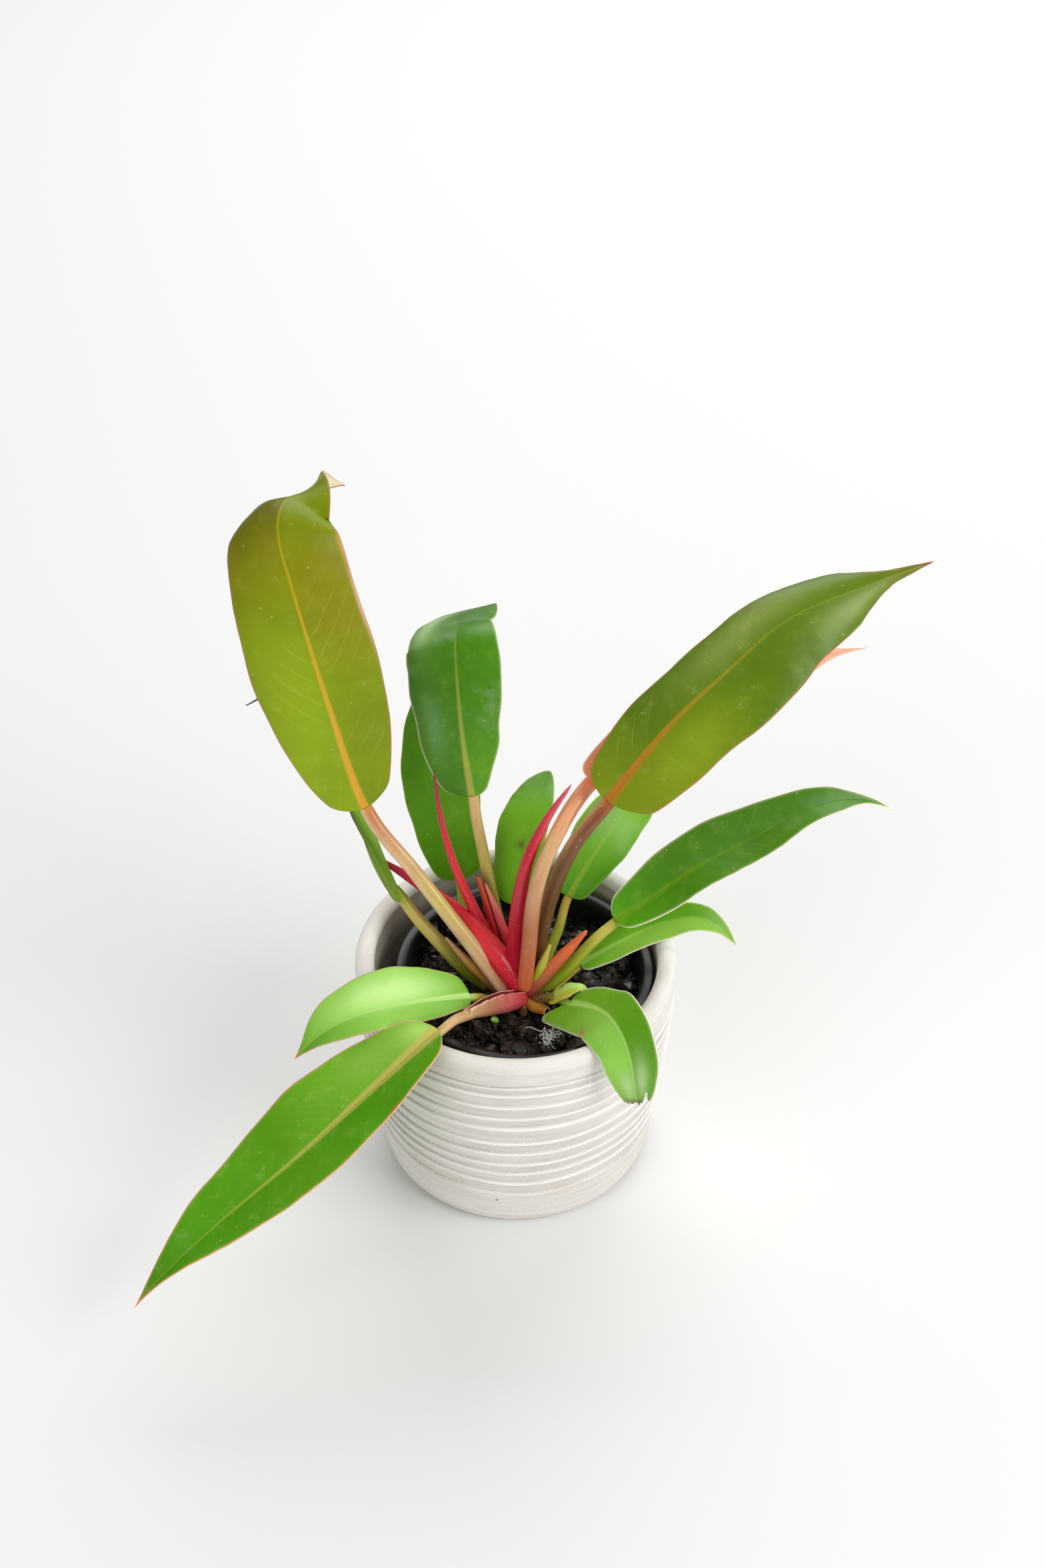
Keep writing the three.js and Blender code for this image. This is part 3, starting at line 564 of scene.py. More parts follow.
def soil_height(x, y):
    """Height of the soil over a place in the nursery pot, all in millimetres."""
    swell = math.sin(x * 0.21 + 1) * math.cos(y * 0.17) + 0.6 * math.sin(x * 0.43 - y * 0.38)
    return SOIL_TOP + SOIL_BUMP * swell


print(f"soil from {SOIL_FLOOR:.1f} to about {SOIL_TOP} mm up")


# %% Damp organic matter: dark and matt, with paler fibres and the odd wet glint
def soil_group():
    inputs = {"Dark": "Color", "Light": "Color", "Wet": "Float"}
    wires, given, result = new_group("potting_mix", inputs, MARKS)
    place = wires.place()
    lumps = wires.noise(place, 190, 6, 0.7)
    fibre = wires.noise(place, 700, 3, 0.6)
    both = wires.maths("ADD", wires.times(lumps, 0.7), wires.times(fibre, 0.4))
    paler = wires.ease(both, 0.48, 0.78)
    wires.feed(result["Color"], wires.mix(paler, given["Dark"], given["Light"]))
    wires.feed(result["Roughness"], wires.maths("SUBTRACT", 0.95, wires.times(given["Wet"], lumps)))
    wires.feed(result["Height"], wires.maths("ADD", lumps, wires.times(fibre, 0.5)))


soil_group()
damp_mix = new_material(
    "damp_mix", bump=0.9, depth=0.8 * MM, group="potting_mix",
    values={"Dark": paint("#0d0a09"), "Light": paint("#42342b"), "Wet": 0.7},
)
bark = new_material(
    "bark", bump=0.8, depth=0.5 * MM, group="potting_mix",
    values={"Dark": paint("#120d0c"), "Light": paint("#54402f"), "Wet": 0.7},
)
wet_peat = new_material(
    "wet_peat", bump=0.7, depth=0.5 * MM, group="potting_mix",
    values={"Dark": paint("#15110f"), "Light": paint("#574a40"), "Wet": 1.35},
)


# %% The body of the soil
def soil_body():
    inside = [nursery_radius(z) - NURSERY_WALL - SOIL_GAP for z in (SOIL_FLOOR, SOIL_TOP - 2)]
    outline = [(0, SOIL_FLOOR), (inside[0] - 1, SOIL_FLOOR), (inside[1], SOIL_TOP - 2)]
    outline += [(inside[1] * share, SOIL_TOP) for share in np.linspace(1, 0, SOIL_RINGS)]
    work = spun(outline, SOIL_SIDES)
    for vert in work.verts:
        if vert.co.z > (SOIL_TOP - 1) * MM:
            x, y = vert.co.x / MM, vert.co.y / MM
            lump = noise.fractal((x / 9, y / 9, 0), 1.0, 2.0, 4)
            crumb = noise.noise((x / 1.6, y / 1.6, 7))
            edge = min(1.0, (inside[1] - math.hypot(x, y)) / 3)
            rise = edge * (LUMP_HEIGHT * lump + GRAIN_HEIGHT * crumb)
            vert.co.z = (soil_height(x, y) + rise) * MM
    bmesh.ops.translate(work, verts=work.verts[:], vec=NURSERY_CENTRE)
    return finish_piece(work, "soil_body", [damp_mix], "potting_mix", "soil")


# %% Crumbs and chips, scattered by a seeded draw
TILT = 0.9
DENT = 0.45


def scattered(name, count, seed, size, shape, reach, material, lift, smooth=False):
    """Scatters dented balls over the soil: size is their radius and reach how far out they lie.

    shape holds the least and the most stretch along each of a ball's three axes.
    """
    draw = random.Random(seed)
    work = bmesh.new()
    for _ in range(count):
        turn = draw.uniform(0, 2 * math.pi)
        out = reach * math.sqrt(draw.random())
        x, y = out * math.cos(turn), out * math.sin(turn)
        scale = draw.uniform(*size) * MM
        spin = Matrix.Rotation(draw.uniform(0, 6.28), 4, "Z")
        rotation = spin @ Matrix.Rotation(draw.uniform(-TILT, TILT), 4, "X")
        stretch = Matrix.Diagonal((*(draw.uniform(*pair) * scale for pair in shape), 1))
        place = Matrix.Translation(Vector((x, y, soil_height(x, y) + lift)) * MM + NURSERY_CENTRE)
        made = bmesh.ops.create_icosphere(work, subdivisions=1, radius=1)["verts"]
        for vert in made:
            vert.co *= 1 + DENT * noise.noise(vert.co * 1.3 + Vector((x, y, out)))
        bmesh.ops.transform(work, matrix=place @ rotation @ stretch, verts=made)
    return finish_piece(work, name, [material], "potting_mix", smooth=smooth)


soil_body()
CRUMB_SHAPE = [(0.7, 1.3), (0.7, 1.3), (0.7, 1.3)]
CHUNK_SHAPE = [(0.7, 1.2), (0.7, 1.2), (0.5, 0.9)]
CHIP_SHAPE = [(0.8, 1.5), (0.5, 0.9), (0.25, 0.6)]
scattered("soil_crumbs", CRUMBS, 5, (0.5, 1.7), CRUMB_SHAPE, 53, damp_mix, 0.5, smooth=True)
scattered("peat_chunks", CHUNKS, 11, (2.1, 5.6), CHUNK_SHAPE, 50, wet_peat, 1.1)
scattered("bark_chips", BARK_CHIPS, 8, (1.8, 4.2), CHIP_SHAPE, 50, bark, 1.2)

# %% [markdown]
# ## Lines that leaves grow along
# A stalk and the midrib it runs into are one line in space. A few listed points set its
# bends, and a smooth curve joins them. The leaf's upper side has to turn with the line without
# twisting, so a direction is carried along it from the point where the blade begins.

# %% Carry an upper side along a smooth line
SPINE_STEPS = 40


def unit(vectors):
    return vectors / np.linalg.norm(vectors, axis=-1, keepdims=True)


class Spine:
    """A smooth line through the points of a path, with its upper side at every place."""

    def __init__(self, path, face, base=0):
        knots = np.array(path, float) * MM
        knots = np.vstack([2 * knots[0] - knots[1], knots, 2 * knots[-1] - knots[-2]])
        step = np.linspace(0, 1, SPINE_STEPS, endpoint=False)[:, None]
        stretches = []
        for before, start, end, after in zip(knots, knots[1:], knots[2:], knots[3:]):
            leave, arrive = (end - before) / 2, (after - start) / 2
            square = 3 * (end - start) - 2 * leave - arrive
            cube = 2 * (start - end) + leave + arrive
            stretches.append(start + leave * step + square * step**2 + cube * step**3)
        self.places = np.vstack([*stretches, knots[-2:-1]])
        self.ways = unit(np.gradient(self.places, axis=0))
        gaps = np.linalg.norm(np.diff(self.places, axis=0), axis=1)
        self.marks = np.concatenate([[0], np.cumsum(gaps)])
        self.length = self.marks[-1]
        self.base = self.marks[base * SPINE_STEPS]
        self.uppers = np.zeros_like(self.ways)
        self.carry(np.array(face, float), range(base * SPINE_STEPS, len(self.ways)))
        self.carry(self.uppers[base * SPINE_STEPS], range(base * SPINE_STEPS - 1, -1, -1))

    def carry(self, upper, order):
        for i in order:
            upper = unit(upper - self.ways[i] * (upper @ self.ways[i]))
            self.uppers[i] = upper

    def at(self, distance):
        """Place, direction and upper side at distances from the crown."""
        found = []
        for values in (self.places, self.ways, self.uppers):
            found.append(np.stack([np.interp(distance, self.marks, values[:, i]) for i in range(3)], -1))
        place, way, upper = found
        way = unit(way)
        upper = unit(upper - way * np.sum(upper * way, -1, keepdims=True))
        return place, way, upper


# %% [markdown]
# ## The leaves' shapes
# Each leaf has its path in millimetres from the crown to the tip, the number of the point where
# the blade begins, and the direction that its upper side faces there. Pairs are for the left and
# the right half, seen from above with the tip up, and lists run from base to tip. half is the half
# width, and fold lifts a half from the midrib, curl bends it over towards its margin and roll turns
# the whole blade, all in degrees. widest is where along the blade it stops swelling, heel its share
# of the width at the very base, taper how fast it narrows to the tip, and drip how far the tip is
# drawn out. wave is the height of the margin's ripple, lobe how far a base corner reaches back, and
# stalk the stalk's radius at its foot and at the blade.

# %% Leaf shapes
LEAVES = {
    "leaf_01": dict(
        path=[(-3, -9, 98), (-23, 0, 126), (-46, 12, 156), (-68, 20, 188), (-82, 27, 240),
              (-95, 38, 293), (-101, 50, 315), (-99, 67, 321), (-90, 84, 315), (-84, 99, 309),
              (-77, 112, 301)],
        base=3, face=(0.1, -0.85, 0.5), roll=[0, 0, 0, 0, 0, 0, 0, -110, -160],
        half=([26, 28, 29.5, 29.5, 29.5, 31, 24, 7, 8], [27, 28, 28.5, 27.5, 27, 30, 30, 18, 16]),
        widest=0.42, taper=(0.85, 0.8), heel=0.2, fold=([12, 8, 0, -14, -20], [12, 10, 10, 10, 0]),
        curl=([20, 25, 40, 50, 30], [20, 25, 25, 40, 30]), wave=1, phase=0.2, stalk=(3.9, 3.1)),
    "leaf_02": dict(
        path=[(1, 4, 90), (-9, 21, 121), (-16, 29, 159), (-20, 33, 184), (-24, 42, 212),
              (-26, 50, 234), (-27, 62, 249), (-25, 82, 247), (-9, 104, 242)],
        base=3, face=(-0.2, -0.85, 0.5), half=([24, 24, 25, 27, 28], [14, 19.5, 21, 20.5, 22]),
        widest=0.48, taper=(0.8, 0.8), heel=0.28, fold=([6, 6, 0, 14, 6], [14, 14, 14, 14, -10]),
        curl=([25, 25, 30, 30, 35], [25, 25, 35]), stalk=(3.2, 2.5)),
    "leaf_03": dict(
        path=[(-1, 0, 94), (-15, 15, 106), (-24, 28, 116), (-27, 38, 128), (-33, 48, 155),
              (-37, 58, 181), (-38, 72, 202), (-35, 90, 216)],
        base=3, face=(0, -0.85, 0.5), half=(17, 18.5), widest=0.5, taper=(0.8, 0.8), heel=0.3,
        fold=([8], [8]), curl=([20], [20]), stalk=(3, 2.2)),
    "leaf_04": dict(
        path=[(4, 0, 96), (2, 10, 102), (0, 18, 112), (-1, 25, 124), (2, 33, 145), (7, 44, 162),
              (16, 70, 169)],
        base=3, face=(-0.3, -0.8, 0.5), half=(14.5, [11.5, 11, 9.5, 8]), widest=0.55,
        taper=(0.6, 0.6), heel=0.3, fold=([5], [20]), curl=([20], [20]), wave=0.6, stalk=(2.6, 1.8)),
    "leaf_05": dict(
        path=[(8, 0, 94), (14, 8, 104), (20, 16, 116), (25, 25, 129), (37, 36, 147), (51, 52, 158),
              (68, 76, 158)],
        base=3, face=(0.1, -0.85, 0.5), half=([13.5, 15.5, 18], [12, 13.5, 17]), widest=0.45,
        taper=(0.9, 0.9), heel=0.3, fold=([8], [8]), curl=([15], [15]), wave=0.6, stalk=(2.8, 2)),
    "leaf_06": dict(
        path=[(7, -4, 96), (10, -1, 119), (15, 2, 146), (25, 6, 175), (41, 10, 200), (67, 22, 232),
              (94, 36, 254), (120, 50, 271), (155, 64, 279), (186, 76, 284)],
        base=4, face=(-0.15, -0.75, 0.65), half=([22.5, 20.5, 21.5], 28.5), widest=0.42,
        taper=(1, 1.15), heel=0.42, drip=0.5, fold=([10, 0, 0, 0], [12, 14, 10, -10]),
        curl=([10, 45, 55, 50], [10, 10, 30, 90]), wave=1, lobe=(1, -3), stalk=(4, 3.4)),
    "leaf_07": dict(
        path=[(4, -11, 102), (6, -9, 129), (9, -5, 159), (18, 7, 182), (35, 25, 200), (71, 44, 222),
              (108, 64, 230), (141, 84, 226), (166, 98, 221)],
        base=4, face=(-0.1, -0.8, 0.5), half=(14, 13), widest=0.34, taper=(1.2, 1.2), heel=0.36,
        drip=0.5, fold=([30], [30]), curl=([20], [20]), lobe=(6, 1), stalk=(3.6, 3.5)),
    "leaf_08": dict(
        path=[(8, -8, 97), (22, -5, 108), (34, 0, 121), (46, 5, 132), (62, 10, 141), (84, 18, 154),
              (110, 28, 163), (136, 38, 173), (161, 46, 171), (180, 50, 161)],
        base=3, face=(0, -0.4, 0.9), half=([15.5, 17.5, 15.5, 14], 13), widest=0.34,
        taper=(1.3, 1.05), heel=0.3, drip=0.5, fold=([22], [22]), curl=([12], [12]), stalk=(3.4, 2.4)),
    "leaf_09": dict(
        path=[(10, -8, 97), (17, -5, 99), (23, -1, 102), (30, 3, 106), (49, 7, 117), (66, 11, 124),
              (83, 13, 127), (95, 11, 123), (104, 8, 113)],
        base=3, face=(0, -0.45, 0.9), half=(8.5, 8.5), widest=0.5, taper=(0.9, 0.9), heel=0.3, drip=0.3,
        fold=([16], [16]), curl=([15], [15]), wave=0.6, stalk=(2.8, 2)),
    "leaf_10": dict(
        path=[(5, -12, 96), (12, -17, 104), (18, -22, 109), (25, -28, 112), (37, -42, 122),
              (44, -57, 128), (50, -70, 122), (54.6, -77, 94)],
        base=3, face=(0, -0.4, 0.9), half=([9.5, 14.5, 14.5], [17, 15.5, 15]), widest=0.42,
        taper=(0.5, 0.5), heel=0.5, fold=([14], [5]), curl=([10], [20]), lobe=(0, 22),
        stalk=(2.6, 1.8)),
    "leaf_11": dict(
        path=[(0, -12, 98), (-10, -27, 109), (-22, -43, 119), (-34, -58, 125), (-63, -78, 108),
              (-95, -98, 87), (-129, -120, 69), (-152, -136, 55), (-166, -147, 44)],
        base=3, face=(-0.1, -0.05, 1), half=(23, [25, 28, 24, 23]), widest=0.45,
        taper=(1.6, 1.15), heel=0.2, fold=([20], [20]), curl=([14], [14]), lobe=(0, 0),
        stalk=(3.4, 2.1)),
    "leaf_12": dict(
        path=[(0, -6, 92), (-8, -10, 95), (-14, -16, 102), (-21, -25, 113), (-46, -37, 121),
              (-68, -45, 122), (-85, -50, 116), (-100, -53, 101)],
        base=3, face=(0, -0.35, 0.9), half=(12, 18), widest=0.45, taper=(1.3, 1.2), heel=0.15,
        fold=([18], [18]), curl=([12], [12]), lobe=(0, 0), stalk=(2.8, 2)),
    "leaf_13": dict(
        path=[(-3, -3, 91), (-20, 2, 100), (-37, 8, 117), (-53, 15, 136), (-61, 22, 153),
              (-68, 30, 170), (-84, 46, 200), (-108, 60, 221), (-124.5, 62, 214)],
        base=3, face=(-0.95, -0.05, 0.3), half=(10.5, 10.5), widest=0.4, taper=(1.1, 1.1),
        heel=0.3, drip=0.8, fold=([35], [35]), curl=([10], [10]), wave=0.6, stalk=(4.8, 2.8)),
    "leaf_14": dict(
        path=[(10, -9, 95), (13, -15, 101), (16, -20, 107), (20, -22.5, 112), (25, -23, 116),
              (30, -23, 117), (33.5, -22.5, 114)],
        base=2, face=(0, -0.4, 0.9), half=(4.5, 4.5), widest=0.4, taper=(1, 1), heel=0.4,
        fold=([12], [12]), curl=([35], [35]), wave=0.4, stalk=(1.8, 1.4)),
}
HABIT = dict(roll=[0], wave=0.8, phase=0, lobe=(1, 1), drip=0)
leaves = {name: {**HABIT, **leaf} for name, leaf in LEAVES.items()}
spines = {name: Spine(leaf["path"], leaf["face"], leaf["base"]) for name, leaf in leaves.items()}
for name, spine in spines.items():
    print(f"{name}: stalk {spine.base / MM:.0f} mm, blade {(spine.length - spine.base) / MM:.0f} mm")

# %% [markdown]
# ## The blade's surface
# A blade is a curved sheet. Across it, each half is an arc that starts at the fold and bends
# over by the curl, and along it the width swells from the heel and tapers to the tip. The base
# corners are rounded, the margin ripples, and the side veins draw the sheet in a little, which
# gives the quilted look of a real leaf.

# %% The blade's surface as a formula
TIP_POWER = 1.9
DRIP_START = 0.78
LOBE_SPAN = 0.22
LOBE_POWER = 1.6
RIPPLES = 2.5
RIPPLE_SHIFT = 0.37
RIPPLE_EASE = 0.15
UNEVEN = 0.02
UNEVEN_TURNS = 4.3
UNEVEN_BEAT = 9
UNEVEN_SHIFT = 2
BASE_ROUND = 0.045
BLADE_THICKNESS = 0.55
KEEL = 0.7
KEEL_FADE = 1.3
VEIN_SWEEP = 0.012
QUILT = 0.09


def stops(values, share):
    """A value for each share of a length, from evenly spaced stops."""
    return np.interp(share, np.linspace(0, 1, len(values)), values)


def by_side(across, pair, share):
    """A value for each place from a left and a right list of stops."""
    left, right = (stops(np.atleast_1d(values), share) for values in pair)
    return np.where(across > 0, right, left)


def rising(value):
    """A soft step from 0 to 1."""
    return value**2 * (3 - 2 * value)


def soft_stops(values, share):
    """Like stops, but it leaves and reaches every stop gently, so that an outline has no corners."""
    steps = max(len(values) - 1, 1)
    whole = np.floor(share * steps)
    return stops(values, (whole + rising(share * steps - whole)) / steps)


def turned(vectors, axes, angles):
    """Vectors turned round their axes, by angles in radians."""
    cosine, sine = np.cos(angles)[:, None], np.sin(angles)[:, None]
    along = axes * np.sum(vectors * axes, -1, keepdims=True)
    return vectors * cosine + np.cross(axes, vectors) * sine + along * (1 - cosine)


def half_width(leaf, share, across):
    """Half width in metres."""
    rise = np.sqrt(1 - (1 - np.minimum(share / leaf["widest"], 1)) ** 2)
    beyond = np.clip((share - leaf["widest"]) / (1 - leaf["widest"]), 0, 1)
    taper = by_side(across, leaf["taper"], share)
    swell = leaf["heel"] + (1 - leaf["heel"]) * rise
    drip = 1 - leaf["drip"] * np.clip((share - DRIP_START) / (1 - DRIP_START) * 2, 0, 1)
    turns = UNEVEN_TURNS * share + leaf["phase"]
    beat = np.sin(UNEVEN_BEAT * share + UNEVEN_SHIFT)
    uneven = 1 + UNEVEN * np.sin(2 * math.pi * turns) * beat
    left, right = (soft_stops(np.atleast_1d(half), share) for half in leaf["half"])
    half = np.where(across > 0, right, left) * MM * swell
    return half * (1 - beyond**TIP_POWER) ** taper * drip * uneven


def blade_surface(leaf, spine, share, across):
    """Places and normals of the blade's middle, with the half width and the reach across it."""
    place, way, upper = spine.at(spine.base + share * (spine.length - spine.base))
    upper = turned(upper, way, np.radians(stops(leaf["roll"], share)))
    side = np.cross(way, upper) * np.where(across < 0, -1, 1)[:, None]
    width = half_width(leaf, share, across)
    rounding = np.sqrt(1 - (1 - np.clip(share / BASE_ROUND, 0, 1)) ** 2)
    reach = np.abs(across) * rounding
    fold = np.radians(by_side(across, leaf["fold"], share))
    curl = np.radians(by_side(across, leaf["curl"], share))
    bend = fold - curl * reach
    out = width / curl * (np.sin(fold) - np.sin(bend))
    calm = np.clip(np.minimum(share, 1 - share) / RIPPLE_EASE, 0, 1)
    turns = RIPPLES * share + leaf["phase"] + np.where(across > 0, RIPPLE_SHIFT, 0)
    ripple = leaf["wave"] * MM * reach**2 * np.sin(2 * math.pi * turns) * calm
    lift = width / curl * (np.cos(bend) - np.cos(fold)) + ripple
    lobe = by_side(across, leaf["lobe"], share) * MM
    back = lobe * reach**LOBE_POWER * np.clip(1 - share / LOBE_SPAN, 0, 1) ** 2
    middle = place + side * out[:, None] + upper * lift[:, None] - way * back[:, None]
    facing = upper * np.cos(bend)[:, None] - side * np.sin(bend)[:, None]
    return middle, unit(facing), width, reach


# %% [markdown]
# ## A leaf's colours
# No leaf of this plant is one green. The new ones are bronze or salmon, and every blade has a
# lighter midrib, faint side veins, a hair-thin pale or pink margin and a satin bloom with specks,
# the bloom partly wax and partly painted sheen.
# The broad colours are painted on the mesh as an attribute, a few stops for each half. Three
# more attributes say how far a place is from the midrib, along it and from the margin, and one
# node group draws the fine markings from them on every blade.


# %% Masks and bands that the group is made of
def side_veins(wires, given, place, rib, run, edge):
    """Where the side veins are, which sweep forwards from the midrib, and the small ones between."""
    bent = wires.maths("ADD", rib, wires.times(rib, rib, VEIN_SWEEP))
    phase = wires.maths("DIVIDE", wires.maths("SUBTRACT", run, bent), given["Vein Spacing"])
    wobble = wires.times(wires.maths("SUBTRACT", wires.noise(place, 60, 1), 0.5), 0.3)
    phase = wires.maths("ADD", phase, wobble)
    main = wires.ease(wires.maths("PINGPONG", phase, 0.5), 0.0, 0.09, 1.0, 0.0)
    small = wires.ease(wires.maths("PINGPONG", wires.times(phase, 6), 0.5), 0.0, 0.3, 0.35, 0.0)
    shown = wires.ease(wires.noise(place, 30, 2), 0.46, 0.72, 0.05, 1.0)
    both = wires.times(wires.maths("MAXIMUM", main, small), shown)
    return wires.times(both, wires.ease(rib, 1.0, 4.0), wires.ease(edge, 0.4, 6.0))


def midrib(wires, given, rib, share, edge):
    """Where the midrib is: it narrows and fades towards the tip."""
    left = wires.maths("SUBTRACT", 1.0, share)
    half = wires.maths("ADD", wires.times(given["Rib Width"], 0.5, left, left), 0.42)
    ribbed = wires.ease(rib, wires.times(half, 0.5), wires.times(half, 1.3), 1.0, 0.0)
    return wires.times(ribbed, wires.ease(edge, 0.3, 1.2), wires.ease(share, 0.1, 1.0, 1.0, 0.35))


def scratched(wires, given, place, colour):
    """Short pale scratches, in patches, along the zero line of a noise."""
    line = wires.maths("ABSOLUTE", wires.maths("SUBTRACT", wires.noise(place, 420, 2), 0.5))
    here = wires.ease(wires.noise(place, 150, 2), 0.58, 0.68)
    scratch = wires.times(wires.ease(line, 0.0, 0.02, 1.0, 0.0), here, given["Scratches"])
    return wires.mix(scratch, colour, paint("#e8eed6"))


def margined(wires, given, fine, edge, colour):
    """The thin coloured margin, with a faint band of the same colour beside it."""
    width = given["Margin Width"]
    ragged = wires.maths("ADD", edge, wires.times(wires.maths("SUBTRACT", fine, 0.5), 0.5))
    warm = wires.ease(ragged, width, wires.times(width, 4.5), 0.2, 0.0)
    colour = wires.mix(warm, colour, given["Margin Colour"])
    rim = wires.ease(ragged, wires.times(width, 0.7), width, 1.0, 0.0)
    return wires.mix(rim, colour, given["Margin Colour"])


# %% The group for leaf markings
def leaf_group():
    inputs = {
        "Rib Colour": "Color", "Rib Tip": "Color", "Rib Width": "Float", "Rib Reach": "Float",
        "Rib Strength": "Float", "Margin Colour": "Color", "Margin Width": "Float",
        "Vein Spacing": "Float", "Vein Strength": "Float", "Underside": "Float",
        "Under Colour": "Color", "Bloom And Sheen": "Float", "Scratches": "Float", "Satin": "Float",
    }
    wires, given, result = new_group("leaf_markings", inputs, MARKS)
    place = wires.place()
    rib = wires.maths("ABSOLUTE", wires.attribute("rib"))
    run = wires.attribute("run")
    edge = wires.attribute("edge")
    fine = wires.noise(place, 150, 5, 0.6)
    broad = wires.noise(place, 36, 2)
    tint = wires.attribute("tint", "Color")
    colour = wires.mix(given["Underside"], tint, given["Under Colour"])
    colour = wires.mix(wires.ease(broad, 0.4, 0.7, 0, 0.3), colour, paint("#d2d6a8"), "MULTIPLY")
    colour = wires.mix(wires.ease(fine, 0.45, 0.75, 0, 0.1), colour, paint("#a3b41c"))
    vein = side_veins(wires, given, place, rib, run, edge)
    colour = wires.mix(wires.times(vein, given["Vein Strength"]), colour, paint("#c8cf5c"))
    share = wires.maths("DIVIDE", run, given["Rib Reach"], clamp=True)
    ribbed = midrib(wires, given, rib, share, edge)
    rib_colour = wires.mix(share, given["Rib Colour"], given["Rib Tip"])
    colour = wires.mix(wires.times(ribbed, given["Rib Strength"]), colour, rib_colour)
    # Wax bloom, partly painted sheen: pale grey-green patches laid over the blade
    wax_and_sheen = wires.times(wires.ease(wires.noise(place, 52, 6, 0.7), 0.56, 0.8), given["Bloom And Sheen"])
    colour = wires.mix(wax_and_sheen, colour, paint("#dfe6d6"))
    fleck = wires.specks(place, 430, 0.973, 0.1, 0.24)
    colour = wires.mix(wires.times(fleck, 0.25), colour, paint("#e6ecc8"))
    colour = scratched(wires, given, place, colour)
    wires.feed(result["Color"], margined(wires, given, fine, edge, colour))
    dull = wires.maths("ADD", wires.times(fine, 0.2), wires.times(wax_and_sheen, 0.4))
    wires.feed(result["Roughness"], wires.maths("ADD", given["Satin"], dull))
    skin = wires.maths("ADD", wires.times(wires.noise(place, 1300, 2), 0.12), wires.times(fine, 0.5))
    veined = wires.maths("SUBTRACT", skin, wires.times(vein, 0.3))
    wires.feed(result["Height"], wires.maths("ADD", veined, wires.times(ribbed, 0.6)))


leaf_group()

# %% [markdown]
# The plant's colours are a box of paints, mixed while looking at the photograph. A blade
# takes a few of them from base to tip for each half, and patches are soft spots of another paint,
# each with its share of the length, its place across, its two radii and its name. The pale green
# and whitish patches on leaves 2, 6, 10 and 12 are painted sheen. rib and margin hold the midrib's
# two paints and the margin's paint and width. The stalk's colours run from its foot to the blade, a
# paler paint along its left is a painted highlight, and drop is how far it sinks below the blade.
# What a look leaves out, it takes from the plain look.

# %% The box of paints
# Some pale patches of these paints are painted sheen on the leaves; each is marked in the looks
PAINTS = {
    "forest": "#41790a", "leaf": "#468306", "meadow": "#569606", "spring": "#509a06",
    "fresh": "#6cab1c", "apple": "#80b03c", "lime": "#8cc94c", "pale": "#a8d464",
    "mint": "#c2ea8c", "sheen_frost": "#a9cc88", "sheen_sage": "#5c8a4c", "sheen_willow": "#7e9140",
    "moss": "#849c10", "olive": "#788a04", "bronze": "#7f7e04", "fir": "#587606",
    "khaki": "#6c6a14", "celery": "#b0b83c", "straw": "#c6b45c", "sand": "#cfa878",
    "buff": "#e6cba0", "ochre": "#c08a30", "rust": "#b4641c", "umber": "#64482a",
    "clay": "#b9795c", "ember": "#bc6c46", "salmon": "#ee9468", "peach": "#efae86",
    "blush": "#eab9a4", "cream": "#f2e6cc", "chestnut": "#84492c", "amber": "#d69a34",
    "brass": "#b4a010", "ash": "#bdbdb6", "chalk": "#f0f0ea", "coral": "#d8683a",
    "scarlet": "#dc3038", "rose": "#d05a60", "crimson": "#c61c36", "wine": "#7c1428",
}


def shade(name):
    return paint(PAINTS[name])


